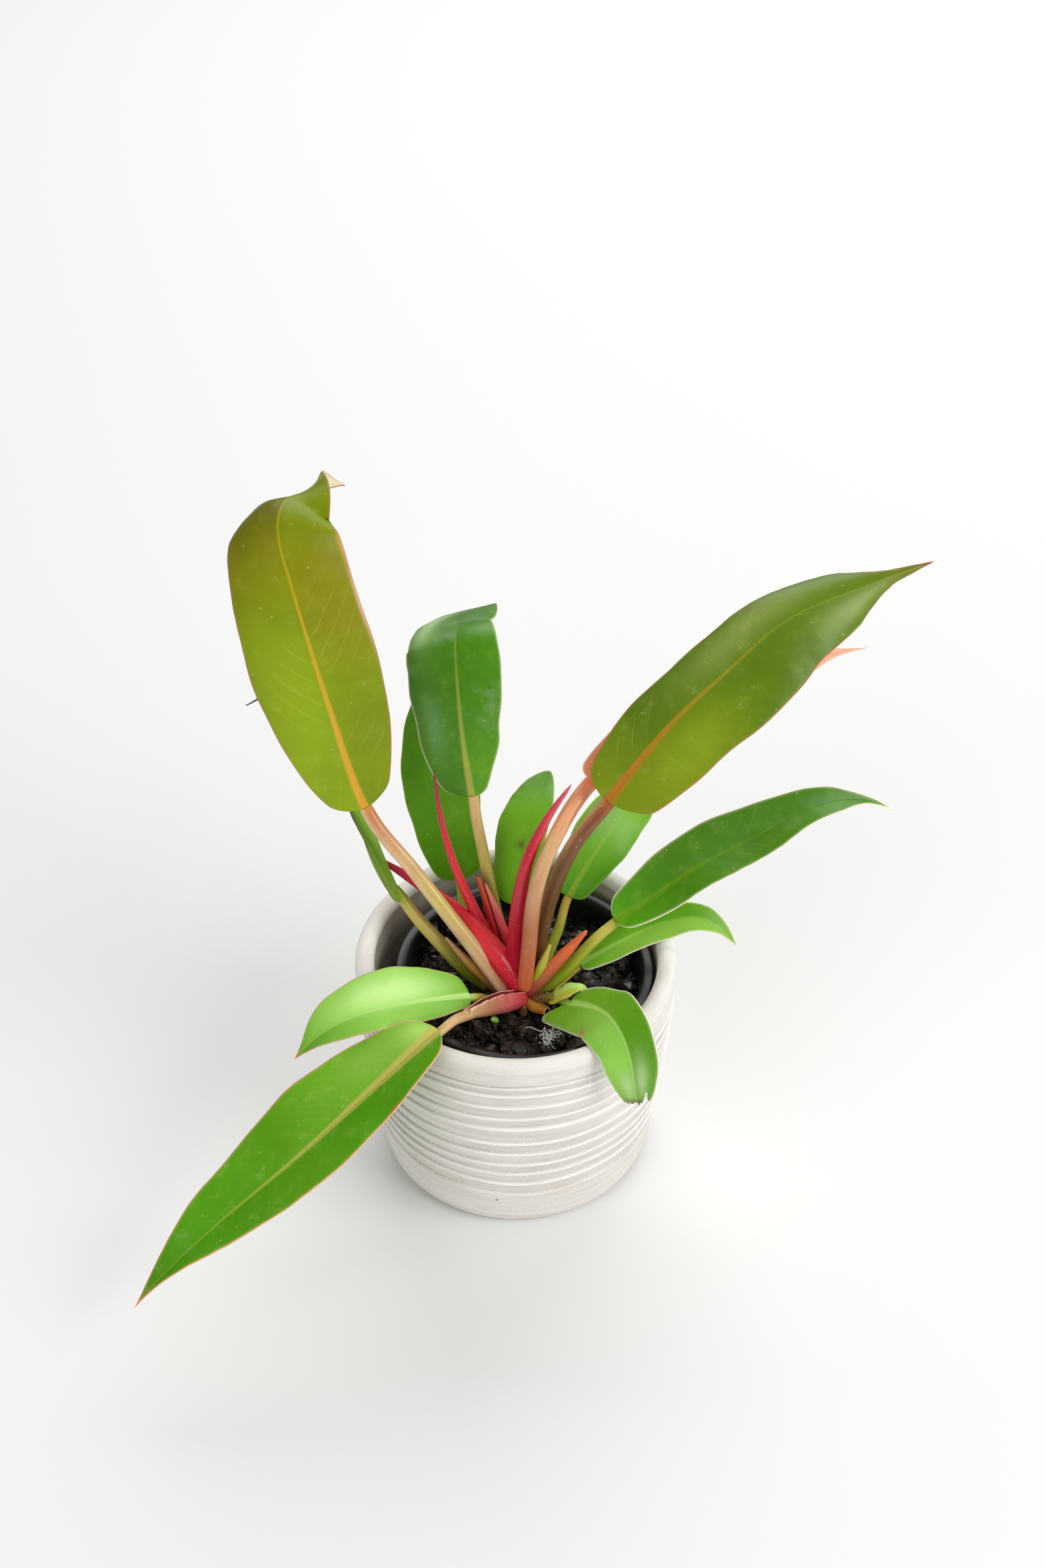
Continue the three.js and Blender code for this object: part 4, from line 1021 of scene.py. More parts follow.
# %% Leaf looks, and the look that they share
PLAIN_LOOK = dict(
    patches=(), under="apple", rib_reach=0.9, rib_strength=0.9, veins=0.09, bloom_and_sheen=0.05,
    scratches=0.07, shine=0.36, drop=0.75,
)
LOOKS = {
    "leaf_01": dict(
        left=["moss", "moss", "olive", "olive", "bronze", "khaki", "olive", "olive"],
        right=["olive", "olive", "olive", "bronze", "bronze", "olive", "olive", "olive"],
        patches=[(0.24, -0.4, 0.24, 0.6, "moss"), (0.6, 1, 0.045, 0.06, "amber"),
                 (0.46, 1, 0.09, 0.045, "blush")],
        under="cream", rib=("amber", "brass"), rib_width=3.6, margin=("clay", 0.35), shine=0.2,
        bloom_and_sheen=0.03, veins=0.18, stalk=["clay", "sand", "straw", "sand", "ember"], painted_highlight_side="buff"),
    "leaf_02": dict(
        left=["forest", "forest", "forest", "forest"], right=["meadow", "leaf", "leaf", "forest"],
        # Both patches, pale ones on the left half, are painted sheen
        patches=[(0.74, -0.7, 0.12, 0.25, "sheen_frost"), (0.3, -0.6, 0.12, 0.2, "sheen_sage")],
        under="pale", rib=("straw", "moss"), rib_width=3.2, rib_strength=0.55,
        margin=("cream", 0.35), bloom_and_sheen=0.12, stalk=["umber", "khaki", "straw", "sand"]),
    "leaf_03": dict(
        left=["meadow", "meadow", "leaf"], right=["meadow", "meadow", "leaf"],
        rib=("moss", "leaf"), rib_width=2.6, rib_strength=0.6, margin=("celery", 0.3),
        stalk=["olive", "moss", "celery"]),
    "leaf_04": dict(
        left=["fresh", "fresh", "fresh", "meadow"], right=["fresh", "fresh", "fresh", "meadow"],
        patches=[(0.42, -0.05, 0.025, 0.14, "umber")],
        rib=("moss", "meadow"), rib_width=2.0, rib_strength=0.5, margin=("celery", 0.3),
        stalk=["olive", "moss", "celery"]),
    "leaf_05": dict(
        left=["spring", "fresh", "meadow"], right=["spring", "fresh", "fresh"],
        rib=("celery", "fresh"), rib_width=2.8, rib_strength=0.45, margin=("pale", 0.35),
        stalk=["moss", "celery", "celery", "ochre"]),
    "leaf_06": dict(
        left=["olive", "fir", "fir", "fir", "fir", "khaki"],
        right=["olive", "olive", "fir", "fir", "fir", "khaki"],
        # The second and third patches, pale ones at the middle and near the tip, are painted sheen
        patches=[(0.25, 0.55, 0.12, 0.42, "moss"), (0.52, -0.5, 0.18, 0.35, "sheen_willow"),
                 (0.78, 0.4, 0.1, 0.3, "sheen_willow"), (1, 0, 0.03, 2, "wine")],
        under="blush", rib=("rust", "moss"), rib_width=4.2, rib_reach=0.75, margin=("clay", 0.35),
        scratches=0.16, shine=0.3, veins=0.18, stalk=["umber", "umber", "umber", "chestnut"],
        painted_highlight_side="sand"),
    "leaf_07": dict(
        left=["salmon", "salmon", "peach", "blush"], right=["salmon", "salmon", "peach", "blush"],
        patches=[(0.99, 0, 0.05, 2, "rose")],
        under="peach", rib=("coral", "salmon"), rib_width=4.5, margin=("blush", 0.5),
        stalk=["coral", "clay", "sand", "salmon"]),
    "leaf_08": dict(
        left=["spring", "forest", "forest", "forest", "leaf"],
        right=["spring", "leaf", "forest", "leaf", "leaf"],
        rib=("moss", "meadow"), rib_width=3.6, rib_strength=0.35, margin=("cream", 0.35),
        stalk=["khaki", "moss", "celery", "straw"]),
    "leaf_09": dict(
        left=["fresh", "fresh", "meadow", "apple"], right=["fresh", "apple", "apple", "apple"],
        rib=("pale", "fresh"), rib_width=2.4, rib_strength=0.7, margin=("cream", 0.3),
        stalk=["olive", "straw", "ochre"]),
    "leaf_10": dict(
        left=["fresh", "fresh", "meadow", "fresh"], right=["fresh", "lime", "lime", "apple"],
        # The second and third patches, pale ones near the tip, are painted sheen
        patches=[(0.28, 0.88, 0.03, 0.14, "clay"), (0.8, -0.35, 0.12, 0.25, "sheen_frost"),
                 (0.85, 0.3, 0.08, 0.25, "sheen_frost"), (0.955, -0.2, 0.025, 1.2, "umber")],
        rib=("pale", "mint"), rib_width=3.2, rib_strength=0.8, margin=("cream", 0.35),
        torn=0.955, bloom_and_sheen=0.12, stalk=["umber", "umber", "moss"]),
    "leaf_11": dict(
        left=["meadow", "spring", "meadow", "spring", "leaf"],
        right=["apple", "fresh", "meadow", "spring", "leaf"],
        patches=[(0.14, 0.5, 0.12, 0.3, "apple"), (0.03, 0.4, 0.05, 0.5, "pale"),
                 (1, 0, 0.03, 2, "clay"), (0.2, -0.1, 0.008, 0.06, "umber"),
                 (0.2, -0.97, 0.025, 0.04, "rust")],
        rib=("straw", "celery"), rib_width=7.0, rib_reach=1.0, rib_strength=0.8,
        margin=("peach", 0.4), scratches=0.2, stalk=["rose", "clay", "sand", "sand"]),
    "leaf_12": dict(
        left=["fresh", "lime", "meadow"], right=["fresh", "lime", "lime", "fresh"],
        # The first, large pale patch is a painted sheen
        patches=[(0.42, 0.4, 0.26, 0.42, "mint"), (1, 0, 0.04, 2, "clay")],
        rib=("mint", "pale"), rib_width=3.0, rib_strength=0.8, margin=("sand", 0.3),
        stalk=["umber", "umber", "celery"]),
    "leaf_13": dict(
        left=["moss", "meadow", "leaf", "khaki"], right=["moss", "meadow", "leaf", "khaki"],
        patches=[(1, 0, 0.04, 2, "umber")],
        rib=("moss", "moss"), rib_width=2.6, rib_strength=0.6, margin=("umber", 0.2),
        stalk=["umber", "olive", "straw", "straw"], drop=0.2),
    "leaf_14": dict(
        left=["celery", "pale", "pale"], right=["celery", "celery", "pale"],
        under="pale", rib=("pale", "mint"), rib_width=1.4, rib_strength=0.6, margin=("straw", 0.3),
        stalk=["celery", "pale"]),
}
looks = {name: {**PLAIN_LOOK, **look} for name, look in LOOKS.items()}
print(len(looks), "looks from", len(PAINTS), "paints")


def painted(colours, share):
    """Linear colours at shares of a length, from a list of stops."""
    codes = np.array([shade(name) for name in colours])
    return np.stack([stops(codes[:, i], share) for i in range(4)], -1)


# %% Paint a blade
SATIN = 0.3
UNDER_SATIN = 0.45
UNDER_RIB = 0.7
UNDERSIDE = 0.75
CROSSING = 5
VEIN_GAP = 3.5
VEIN_GROWTH = 0.035


def blade_tint(look, share, across):
    """The colour of each place: the two halves blend at the midrib, and patches lie on top."""
    crossing = np.clip(0.5 + across * CROSSING, 0, 1)[:, None]
    tint = painted(look["left"], share) * (1 - crossing) + painted(look["right"], share) * crossing
    for along, over, long, wide, name in look["patches"]:
        spread = ((share - along) / long) ** 2 + ((across - over) / wide) ** 2
        strength = np.exp(-spread)[:, None]
        tint = tint * (1 - strength) + np.array(shade(name)) * strength
    return tint


def leaf_materials(name, look, length):
    values = {
        "Rib Colour": shade(look["rib"][0]), "Rib Tip": shade(look["rib"][1]),
        "Rib Width": look["rib_width"], "Rib Reach": length / MM * look["rib_reach"],
        "Rib Strength": look["rib_strength"], "Margin Colour": shade(look["margin"][0]),
        "Margin Width": look["margin"][1], "Vein Spacing": vein_spacing(length),
        "Vein Strength": look["veins"], "Underside": 0.0, "Under Colour": shade(look["under"]),
        "Bloom And Sheen": look["bloom_and_sheen"], "Scratches": look["scratches"], "Satin": SATIN,
    }
    under_rib = look["rib_width"] * UNDER_RIB
    under = {**values, "Underside": UNDERSIDE, "Rib Width": under_rib, "Satin": UNDER_SATIN}
    made = []
    for label, chosen in (("upper", values), ("under", under)):
        made.append(new_material(
            f"{name}_{label}", bump=0.3, depth=0.35 * MM, group="leaf_markings", values=chosen,
            **{"Specular IOR Level": look["shine"]},
        ))
    return made


def vein_spacing(length):
    """Millimetres between side veins: a long blade has them further apart."""
    return VEIN_GAP + length / MM * VEIN_GROWTH


# %% [markdown]
# The blade starts as a flat grid. Extruding its faces, and keeping the first ones, gives it a
# second skin and a rim, and then every vertex is moved to its place on the formula. Rows are
# closer at both ends and columns closer at the midrib and the margin, where the surface turns.

# %% Lay the flat grid of a blade
ROW_LENGTH = 1.5
COLUMN_WIDTH = 1.15
CROWDING = 0.06
NOTCH_PLACE = -0.6
NOTCH_DEPTH = 0.08
NOTCH_WIDTH = 0.12
TORN_SLANT = 0.06
RAGGED = 0.035
RAGGED_TURNS = 8


def torn_limit(look, across):
    """How far up a blade reaches before it is torn off, with a notch in its left half."""
    if "torn" not in look:
        return np.full_like(across, 1.0)
    ragged = RAGGED * np.array([noise.noise((value * RAGGED_TURNS, 3, 1)) for value in across])
    notch = NOTCH_DEPTH * np.exp(-(((across - NOTCH_PLACE) / NOTCH_WIDTH) ** 2))
    return look["torn"] + ragged - notch - TORN_SLANT * np.clip(NOTCH_PLACE - across, 0, 1)


def blade_grid(leaf, look, length):
    """A flat upper and lower skin, with each vertex's share along, place across and skin."""
    work = bmesh.new()
    rows = max(24, round(length / MM / ROW_LENGTH))
    columns = 2 * max(8, round(max(np.max(half) for half in leaf["half"]) / COLUMN_WIDTH))
    bmesh.ops.create_grid(work, x_segments=columns, y_segments=rows, size=1)
    upper_count = len(work.verts)
    bmesh.ops.extrude_face_region(work, geom=work.faces[:], use_keep_orig=True)
    work.verts.index_update()
    for face in work.faces:
        if all(vert.index >= upper_count for vert in face.verts):
            face.material_index = 1
    flat = np.array([vert.co[:2] for vert in work.verts])
    across = flat[:, 0] - CROWDING * np.sin(2 * math.pi * flat[:, 0])
    share = (flat[:, 1] + 1) / 2
    share = share - CROWDING * np.sin(2 * math.pi * share)
    level = np.where(np.arange(len(flat)) < upper_count, 1, -1)
    return work, np.minimum(share, torn_limit(look, across)), across, level


# %% The relief of a blade: quilting between the veins, a frayed margin, a midrib and a keel
FRAY = 0.55
FRAY_TURNS = 26
RIB_HEIGHT = 0.3
KEEL_WIDTH = 0.8
THIN_FROM = 0.04
THIN_EDGE = 0.55


def blade_relief(leaf, look, length, share, across, level, reach, rib):
    """How far each vertex lies above the blade's middle, in millimetres."""
    run = share * length / MM
    sides = np.sign(across)
    phase = (run - np.abs(rib) - VEIN_SWEEP * rib**2) / vein_spacing(length)
    quilted = np.abs(2 * (phase - np.floor(phase)) - 1) ** 2 * np.sqrt(reach * (1 - reach)) * 2
    fray = [noise.noise((along * FRAY_TURNS, side * 7, 5)) for along, side in zip(share, sides)]
    calm = np.clip(np.minimum(share, 1 - share) / RIPPLE_EASE, 0, 1)
    relief = (-QUILT * quilted + FRAY * np.array(fray) * reach**3) * calm
    rib_half = look["rib_width"] / 2 * (1 - share) + 0.5
    relief += RIB_HEIGHT * np.exp(-((rib / rib_half) ** 2)) * (1 - share)
    keel = KEEL * leaf["stalk"][1] * (1 - share) ** KEEL_FADE
    keel = keel * np.exp(-((rib / (rib_half * KEEL_WIDTH)) ** 2))
    half_thick = BLADE_THICKNESS / 2
    away = np.where(level > 0, half_thick + relief, -(half_thick + keel - relief))
    rim = np.clip((1 - np.abs(across)) / THIN_FROM, 0, 1)
    return np.where(rim < 1, away * (THIN_EDGE + (1 - THIN_EDGE) * rim), away)


# %% Make a blade
def blade(name):
    leaf, look, spine = leaves[name], looks[name], spines[name]
    length = spine.length - spine.base
    work, share, across, level = blade_grid(leaf, look, length)
    middle, facing, width, reach = blade_surface(leaf, spine, share, across)
    rib = reach * width * np.sign(across) / MM
    run = share * length / MM
    edge = (1 - np.abs(across)) * width / MM
    away = blade_relief(leaf, look, length, share, across, level, reach, rib)
    places = middle + facing * (away * MM)[:, None]
    places[share >= 1] = middle[share >= 1]
    tint = blade_tint(look, share, across)
    layers = [work.verts.layers.float.new(label) for label in ("rib", "run", "edge")]
    tint_layer = work.verts.layers.float_color.new("tint")
    for vert, place, colour, values in zip(work.verts, places, tint, zip(rib, run, edge)):
        vert.co = place
        vert[tint_layer] = colour
        for layer, value in zip(layers, values):
            vert[layer] = value
    materials = leaf_materials(name, look, length)
    slot = frame_slots[f"{name}_blade"]
    return finish_piece(work, f"{name}_lamina", materials, slot, f"{name}_blade")


frame_slots = {part["node"]: part["material_slot"] for part in frame["record"]["subparts"]}
for name in leaves:
    blade(name)

# %% [markdown]
# ## Stalks
# A leaf stalk is a glossy rod, thicker at its foot, with a shallow channel along its upper side.
# It doesn't stop where the blade starts but sinks into it as the midrib. A grid rolled round the
# leaf's line makes it: the two long edges meet and are merged, and both ends draw in until they
# close. A curve with a round bevel would be quicker, but it would have no channel, and nothing for
# the streaks to follow.

# %% Streaks along a stalk
def skin_group():
    inputs = {
        "Streak": "Color", "Streaks": "Float", "Dots": "Float", "Satin": "Float", "Rim": "Color",
    }
    wires, given, result = new_group("stalk_skin", inputs, MARKS)
    place = wires.place()
    grain = wires.attribute("grain", "Vector")
    edge = wires.attribute("edge")
    lines = wires.noise(grain, 7, 4, 0.6)
    clouds = wires.noise(place, 85, 4, 0.6)
    colour = wires.attribute("tint", "Color")
    streaked = wires.times(wires.ease(lines, 0.45, 0.7), given["Streaks"])
    colour = wires.mix(streaked, colour, given["Streak"])
    colour = wires.mix(wires.ease(clouds, 0.5, 0.8, 0, 0.25), colour, paint("#c8b088"), "MULTIPLY")
    dot = wires.specks(place, 620, 0.9, 0.12, 0.28)
    colour = wires.mix(wires.times(dot, given["Dots"]), colour, paint("#f3e6d2"))
    colour = wires.mix(wires.ease(edge, 0.25, 0.55, 0.85, 0.0), colour, given["Rim"])
    wires.feed(result["Color"], colour)
    wires.feed(result["Roughness"], wires.maths("ADD", given["Satin"], wires.times(clouds, 0.22)))
    wires.feed(result["Height"], wires.maths("ADD", wires.times(lines, 0.8), wires.times(clouds, 0.3)))


skin_group()


def skin_material(name, streak, rim, streaks=0.35, dots=0.35, satin=0.22):
    values = {
        "Streak": shade(streak), "Rim": shade(rim), "Streaks": streaks, "Dots": dots, "Satin": satin,
    }
    shader = {"Coat Weight": 0.15, "Coat Roughness": 0.15, "Specular IOR Level": 0.5}
    return new_material(name, 0.3, 0.25 * MM, "stalk_skin", values, **shader)


SKINS = {
    "stalk_red": skin_material("stalk_skin_red", "rust", "clay"),
    "stalk_tan": skin_material("stalk_skin_tan", "khaki", "sand"),
    "stalk_green": skin_material("stalk_skin_green", "celery", "straw"),
    "sheath_red": skin_material("sheath_skin_red", "wine", "wine", 0.35, 0.25, 0.16),
    "sheath_torn": skin_material("sheath_skin_torn", "clay", "blush", 0.3, 0.2, 0.2),
    "sheath_green": skin_material("sheath_skin_green", "olive", "straw"),
    "sheath_tan": skin_material("sheath_skin_tan", "umber", "sand", 0.5, 0.1, 0.4),
    "stem": skin_material("stem_skin", "wine", "clay", 0.4, 0.2, 0.4),
}

# %% Roll a grid round a line
GRAIN_LENGTH = 60


def by_row(values, along):
    """Each vertex's value, from a list with one value for each row of the grid."""
    return values[np.rint(along * (len(values) - 1)).astype(int)]


def rolled(work, spine, distance, radius, angles, columns, sink=None):
    """Rolls a grid round a spine.

    distance has one value for each row. radius gives a value for shares along and across and an
    angle, and sink one for a share along. angles are the sheet's first and last, from 0 at the
    right over 90 at the upper side. It returns the grid's vertices with their shares along and
    across, their angles and their distances from the foot.
    """
    rows = len(distance)
    made = bmesh.ops.create_grid(work, x_segments=columns, y_segments=rows - 1, size=1)["verts"]
    flat = np.array([vert.co[:2] for vert in made])
    along = np.rint((flat[:, 1] + 1) / 2 * (rows - 1)).astype(int)
    across = (flat[:, 0] + 1) / 2
    place, way, upper = spine.at(np.array(distance)[along])
    side = np.cross(way, upper)
    turn = np.radians(angles[0] + (angles[1] - angles[0]) * across)
    out = radius(along / (rows - 1), across, turn)
    centre = place if sink is None else place - upper * sink(along / (rows - 1))[:, None]
    places = centre + (side * np.cos(turn)[:, None] + upper * np.sin(turn)[:, None]) * out[:, None]
    for vert, co in zip(made, places):
        vert.co = co
    return made, along / (rows - 1), across, turn, np.array(distance)[along]


def dress(work, made, tint, turn, distance, edge):
    tint_layer = work.verts.layers.float_color["tint"]
    grain_layer = work.verts.layers.float_vector["grain"]
    edge_layer = work.verts.layers.float["edge"]
    grain = np.stack([np.cos(turn), np.sin(turn), distance / MM / GRAIN_LENGTH], -1)
    for vert, colour, along, rim in zip(made, tint, grain, edge):
        vert[tint_layer] = colour
        vert[grain_layer] = along
        vert[edge_layer] = rim


def new_skin_work():
    work = bmesh.new()
    work.verts.layers.float_color.new("tint")
    work.verts.layers.float_vector.new("grain")
    work.verts.layers.float.new("edge")
    return work


# %% Make a stalk
STALK_OVERLAP = 9 * MM
OVERLAP_LIMIT = 0.2
STALK_DROP = 14 * MM
RIB_PAINT_START = 0.6
STALK_COLUMNS = 28
STALK_ROW = 1.6
STALK_ROUND = (-90, 270)
CHANNEL = 0.13
CHANNEL_SPREAD = 0.45
KNOBS = 0.02
FAR_FROM_EDGE = 9.0
LIT_STRENGTH = 0.75
LIT_TURN = 2.5
LIT_SPREAD = 0.5


def stalk(name):
    leaf, look, spine = leaves[name], looks[name], spines[name]
    first, last = (radius * MM for radius in leaf["stalk"])
    overlap = min(STALK_OVERLAP, OVERLAP_LIMIT * (spine.length - spine.base))
    end = spine.base + overlap
    rows = max(16, round(end / MM / STALK_ROW))
    distance = np.linspace(0, end, rows)
    into = np.clip((distance - spine.base) / overlap, 0, 1)
    body = first + (last - first) * np.clip(distance / spine.base, 0, 1)
    cap = np.sqrt(np.clip(1 - (1 - np.clip(distance / first, 0, 1)) ** 2, 0, 1))
    body = body * cap * np.sqrt(np.clip(1 - into**1.5, 0, 1))
    drop = np.clip((distance - spine.base + STALK_DROP) / STALK_DROP, 0, 1)
    drop = look["drop"] * last * rising(drop)

    def radius(along, across, turn):
        dip = 1 - CHANNEL * np.exp(-(((turn - math.pi / 2) / CHANNEL_SPREAD) ** 2))
        knobbly = 1 + KNOBS * np.sin(along * 9 + 3 * turn)
        return by_row(body, along) * dip * knobbly

    def sink(along):
        return by_row(drop, along)

    work = new_skin_work()
    made, along, across, turn, reached = rolled(
        work, spine, distance, radius, STALK_ROUND, STALK_COLUMNS, sink
    )
    tint = painted(look["stalk"], np.clip(reached / spine.base, 0, 1))
    rib = np.array(shade(look["rib"][0]))
    share = np.clip((reached - spine.base) / overlap + RIB_PAINT_START, 0, 1)[:, None]
    tint = tint * (1 - share) + rib * share
    # Painted highlight: a paler band down the stalk's left side
    if "painted_highlight_side" in look:
        lit = LIT_STRENGTH * np.exp(-(((turn - LIT_TURN) / LIT_SPREAD) ** 2))[:, None]
        tint = tint * (1 - lit) + np.array(shade(look["painted_highlight_side"])) * lit
    dress(work, made, tint, turn, reached, np.full(len(made), FAR_FROM_EDGE))
    slot = frame_slots[f"{name}_stalk"]
    return finish_piece(work, f"{name}_petiole", [SKINS[slot]], slot, f"{name}_stalk")


for name in leaves:
    stalk(name)

# %% [markdown]
# ## Sheaths and rolled leaves
# Each new leaf grows out of a fleshy sheath, which stays at the crown as a red pointed bract, and
# before it opens the leaf itself is rolled like a scroll. Both are a sheet rolled round a line:
# a bract is open along one side, and a scroll turns more than once, so its free edge shows as a
# seam. The sheet gets its thickness by extruding it and moving the copy inwards.

# %% Sheath shapes: paths and radii in millimetres, angles in degrees
SHEATH_FACE = (0, -0.8, 0.6)
SHEATHS = {
    "rolled_leaf_left": dict(
        path=[(-1, 2, 95), (-10, 9, 110), (-20, 13, 134), (-28, 18, 154), (-34, 24, 177),
              (-37, 28, 204)],
        radii=[3.6, 3.2, 2.5, 1.8, 1.2, 0.4], angles=(-160, 290),
        tint=["crimson", "crimson", "scarlet", "crimson", "wine"]),
    "rolled_leaf_right": dict(
        path=[(2, -5, 99), (0, -2, 129), (4, 3, 164), (13, 9, 188), (25, 14, 207)],
        radii=[4, 3.8, 3.2, 2.4, 0.6], angles=(-130, 300),
        tint=["crimson", "crimson", "crimson", "rose"]),
    "open_sheath_back": dict(
        path=[(-2, 6, 93), (-7, 13, 109), (-12, 18, 127), (-17, 22, 146)],
        radii=[3, 3.2, 2.6, 1.8], angles=(75, 215), open_end=True,
        tint=["crimson", "scarlet", "scarlet", "coral"]),
    "open_sheath_flap": dict(
        path=[(1, 5, 93), (-3, 11, 108), (-8, 16, 125), (-14.5, 20, 143)], slot="sheath_red",
        radii=[2.6, 2.8, 2.2, 0.7], angles=(15, 150), tint=["crimson", "scarlet", "rose", "salmon"]),
    "wide_sheath_left": dict(
        path=[(3, -10, 101), (-5, -4, 112), (-17, 5, 123), (-28, 13, 131), (-45, 20, 142),
              (-66, 25, 155)],
        radii=[4.4, 6.2, 5.2, 3.6, 2.3, 0.6], angles=(-50, 235),
        tint=["crimson", "scarlet", "scarlet", "crimson", "wine"]),
    "orange_sheath_right": dict(
        path=[(5, -12, 100), (15, -10, 114), (25, -6, 125), (33, -2, 133)],
        radii=[3, 3.2, 2.8, 0.8], angles=(-60, 230),
        tint=["wine", "ember", "coral", "coral"]),
    "green_sheath": dict(
        path=[(9, -11, 105), (12, -9, 116), (16, -6, 128)],
        radii=[3, 2.4, 0.6], angles=(-40, 220), tint=["olive", "celery", "straw"]),
    "tan_sheath_left": dict(
        path=[(-6, -7, 97), (-21, -2, 111), (-33, 3, 124)],
        radii=[3, 2.6, 0.6], angles=(-40, 220), tint=["umber", "ochre", "sand"]),
    "torn_sheath_front": dict(
        path=[(4, -12, 99), (-10, -26, 109), (-22, -43, 120)],
        radii=[4.4, 5.4, 4.4, 2.4], angles=(345, 44), open_end=True, torn=True, skin="sheath_torn",
        tint=["crimson", "rose", "clay", "sand"]),
    "brown_stub_front": dict(
        path=[(4, -14, 98), (10, -18, 99), (14.5, -22, 100)],
        radii=[3, 3.2, 2], angles=(-60, 240), open_end=True, tint=["rust", "ochre", "rust"]),
    "brown_bud": dict(
        path=[(3, -19, 95), (3.5, -21, 99), (4, -22, 103)], slot="sheath_tan",
        radii=[2, 2, 0.5], angles=(-120, 300), tint=["umber", "umber", "umber"]),
    "green_nub": dict(
        path=[(-9, -24, 95), (-10, -26, 99), (-11, -28, 101)], slot="sheath_green",
        radii=[1.6, 1.8, 0.8], angles=(-120, 300), tint=["celery", "lime", "pale"]),
}
print(len(SHEATHS), "sheaths, rolled leaves and buds")

# %% Make a sheath
SHEATH_WALL = 0.45
SHEATH_ROW = 0.9
SHEATH_COLUMNS = 40
SPIRAL = 0.12
POINT = 0.04
LIP_FROM = 0.86
LIP_FLARE = 0.3
LIP_FRILL = 0.8
FRILL_TURNS = 7


def sheath(name, shape):
    spine = Spine(shape["path"], SHEATH_FACE)
    rows = max(24, round(spine.length / MM / SHEATH_ROW))
    distance = np.linspace(0, spine.length, rows)
    share = distance / spine.length
    body = stops(shape["radii"], share) * MM
    start = np.clip(distance / (shape["radii"][0] * MM), 0, 1)
    body = body * np.sqrt(1 - (1 - start) ** 2)
    if not shape.get("open_end"):
        body = body * np.sqrt(np.clip((1 - share) / POINT, 0, 1))

    def radius(along, across, turn):
        out = by_row(body, along) * (1 - SPIRAL / 2 + SPIRAL * across)
        if shape.get("torn"):
            frill = np.array([noise.noise((value * FRILL_TURNS, 2, 4)) for value in along])
            lip = np.clip((across - LIP_FROM) / (1 - LIP_FROM), 0, 1) * np.clip(along * 2 - 0.4, 0, 1)
            out = out * (1 + (LIP_FLARE + LIP_FRILL * frill) * lip)
        return out

    work = new_skin_work()
    made, along, across, turn, reached = rolled(
        work, spine, distance, radius, shape["angles"], SHEATH_COLUMNS
    )
    outer = len(made)
    bmesh.ops.extrude_face_region(work, geom=work.faces[:], use_keep_orig=True)
    work.verts.index_update()
    inner = [vert for vert in work.verts if vert.index >= outer]
    centre, _, _ = spine.at(np.concatenate([reached, reached]))
    for vert in inner:
        twin = Vector(centre[vert.index - outer])
        inward = twin - vert.co
        vert.co += inward.normalized() * min(SHEATH_WALL * MM, inward.length * 0.6)
    arc = np.radians(abs(shape["angles"][1] - shape["angles"][0]))
    wide = by_row(body, along) * arc / MM
    edge = np.minimum(across, 1 - across) * wide
    if shape.get("open_end"):
        edge = np.minimum(edge, (1 - along) * spine.length / MM)
    edge = np.concatenate([edge, edge])
    tint = painted(shape["tint"], np.concatenate([along, along]))
    turns = np.concatenate([turn, turn])
    dress(work, list(work.verts), tint, turns, np.concatenate([reached, reached]), edge)
    slot = shape.get("slot") or frame_slots[name]
    nodes = [name] if name in frame_slots else []
    return finish_piece(work, f"{name}_skin", [SKINS[shape.get("skin", slot)]], slot, *nodes)


for name, shape in SHEATHS.items():
    sheath(name, shape)

# %% [markdown]
# ## A tuft of root fibres
# At the front of the mix a clump of pale, torn root fibres has come to the top, and one long strand
# lies beside it. Particle hair would be easy to comb, but it isn't a mesh, and the model is kept as
# meshes. So each fibre is a very thin grid rolled round a short random line, like a stalk.

# %% The tuft of fibres
TUFT = np.array([15.5, -37.0, 97.5])
TUFT_SPREAD = np.array([2.3, 2.9, 0.9])
FIBRES = 150
FIBRE_LENGTH = (1.1, 3.6)
FIBRE_RADIUS = (0.1, 0.2)
FIBRE_ROWS = 10
FIBRE_COLUMNS = 5
STRAND = [(14, -34, 98.5), (10, -33.5, 99.6), (6.5, -31, 99.2), (3.5, -31.5, 98.6)]
STRAND_RADIUS = 0.18


def fibre(work, path, thick):
    spine = Spine(path, (0.3, 0.2, 1))

    def radius(along, across, turn):
        return thick * MM * np.sqrt(np.clip(1 - (2 * along - 1) ** 4, 0, 1))

    distance = np.linspace(0, spine.length, FIBRE_ROWS)
    made, along, across, turn, reached = rolled(
        work, spine, distance, radius, STALK_ROUND, FIBRE_COLUMNS
    )
    tint = painted(["ash", "chalk", "chalk"], along)
    dress(work, made, tint, turn, reached, np.full(len(made), FAR_FROM_EDGE))


def root_tuft():
    draw = random.Random(21)
    work = new_skin_work()
    for _ in range(FIBRES):
        place = TUFT + TUFT_SPREAD * [draw.gauss(0, 0.8), draw.gauss(0, 0.8), abs(draw.gauss(0, 1))]
        path = [place]
        step = draw.uniform(*FIBRE_LENGTH) / 3
        way = np.array([draw.gauss(0, 1), draw.gauss(0, 1), draw.uniform(-0.2, 0.7)])
        for _ in range(3):
            way = unit(way + [draw.gauss(0, 0.7), draw.gauss(0, 0.7), draw.gauss(-0.1, 0.35)])
            path.append(path[-1] + way * step)
        fibre(work, path, draw.uniform(*FIBRE_RADIUS))
    fibre(work, STRAND, STRAND_RADIUS)
    skin = skin_material("root_skin", "ash", "chalk", satin=0.6)
    return finish_piece(work, "root_tuft", [skin], "potting_mix")


root_tuft()

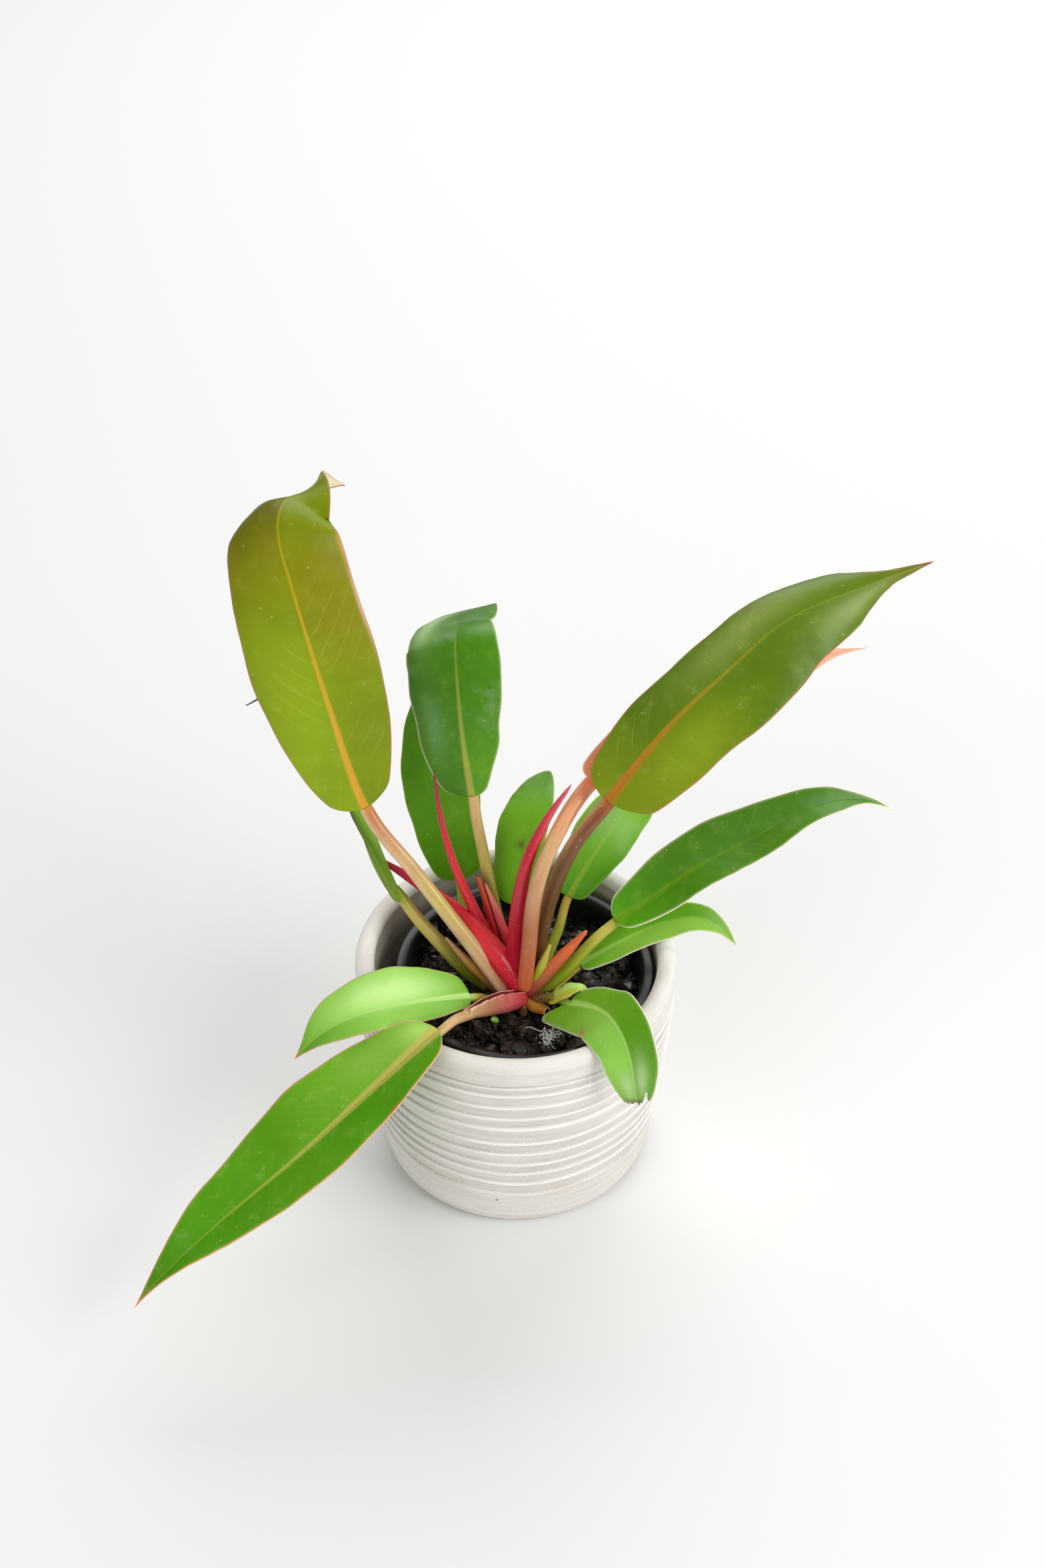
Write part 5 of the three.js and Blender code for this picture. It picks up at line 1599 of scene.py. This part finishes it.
# %% [markdown]
# ## The stem
# Little of the stem shows between the stalks. It is a short spun body, with the swellings of two
# old nodes in the soil, and its skin comes from the same group as the stalks'.

# %% The stem
STEM_CENTRE = Vector((4, -7, 0)) * MM
STEM_RADIUS = 7.5
STEM_SWELL = 0.8
STEM_BOTTOM = 72.3
STEM_TOP = 100
STEM_ROUND = 3
STEM_SWELLINGS = (78, 86)
SWELL_SPREAD = 1.6
STEM_SIDES = 48


def stem():
    waist = STEM_RADIUS - STEM_SWELL
    shoulder = STEM_TOP - STEM_ROUND
    outline = [(0, STEM_BOTTOM), (STEM_RADIUS - 2, STEM_BOTTOM)]
    for height in np.linspace(STEM_BOTTOM, shoulder, 40):
        swell = sum(math.exp(-(((height - ring) / SWELL_SPREAD) ** 2)) for ring in STEM_SWELLINGS)
        outline.append((waist + STEM_SWELL * swell, height))
    outline += [
        (waist * math.cos(turn), shoulder + STEM_ROUND * math.sin(turn))
        for turn in np.linspace(0.2, math.pi / 2, 8)
    ]
    work = spun(outline, STEM_SIDES)
    bmesh.ops.translate(work, verts=work.verts[:], vec=STEM_CENTRE)
    tint_layer = work.verts.layers.float_color.new("tint")
    edge_layer = work.verts.layers.float.new("edge")
    work.verts.layers.float_vector.new("grain")
    for vert in work.verts:
        vert[tint_layer] = shade("wine")
        vert[edge_layer] = FAR_FROM_EDGE
    return finish_piece(work, "short_stem", [SKINS["stem"]], "stem", "stem")


stem()

# %% [markdown]
# ## Floor and light
# The photograph is bright and nearly shadowless: a white table in a white room. A wide window
# behind the plant draws the satin sheen on every leaf that lies flat, and a second one in front on
# the right leaves the left side of the pot a little darker. The plain world and a soft lamp in
# place of the wall on the left only fill the shadows: they aren't seen in the sheen, because they
# would lay a grey veil over the dark greens.

# %% The floor
FLOOR_SIZE = 12
floor_work = bmesh.new()
bmesh.ops.create_grid(floor_work, x_segments=1, y_segments=1, size=FLOOR_SIZE / 2)
floor_mesh = bpy.data.meshes.new("floor")
floor_work.to_mesh(floor_mesh)
floor_work.free()
floor = bpy.data.objects.new("floor", floor_mesh)
bpy.context.scene.collection.objects.link(floor)
floor_paint = bpy.data.materials.new("floor_paint")
floor_paint.use_nodes = True
floor_sockets = floor_paint.node_tree.nodes["Principled BSDF"].inputs
floor_sockets["Base Color"].default_value = paint("#e0e0df")
floor_sockets["Roughness"].default_value = 0.7
floor_mesh.materials.append(floor_paint)
print("floor", FLOOR_SIZE, "metres wide")

# %% The lights
WORLD_STRENGTH = 0.46
LIGHTS_AIM = Vector((0, 0, 0.15))
LIGHTS = {
    "back_window": dict(place=(0.3, 1.9, 1.7), size=(2.4, 1.6), power=38, sheen=True),
    "right_window": dict(place=(1.9, -1.0, 1.6), size=(1.6, 1.6), power=45, sheen=True),
    "left_wall": dict(place=(-1.2, -1.5, 1.3), size=(1.6, 1.6), power=18, sheen=False),
}
world = bpy.data.worlds.new("white_room")
world.use_nodes = True
sky = world.node_tree.nodes["Background"].inputs
sky["Color"].default_value = (1, 1, 1, 1)
sky["Strength"].default_value = WORLD_STRENGTH
world.cycles_visibility.glossy = False
bpy.context.scene.world = world
for name, light in LIGHTS.items():
    lamp = bpy.data.objects.new(name, bpy.data.lights.new(name, "AREA"))
    lamp.data.shape = "RECTANGLE"
    lamp.data.size, lamp.data.size_y = light["size"]
    lamp.data.energy = light["power"]
    lamp.visible_camera = False
    lamp.visible_glossy = light["sheen"]
    lamp.location = light["place"]
    aim = LIGHTS_AIM - lamp.location
    lamp.rotation_euler = aim.to_track_quat("-Z", "Y").to_euler()
    bpy.context.scene.collection.objects.link(lamp)
bpy.context.scene.view_settings.view_transform = "Standard"
print("lit by", ", ".join(LIGHTS))

# %% Bring the scene up to date
bpy.context.view_layer.update()
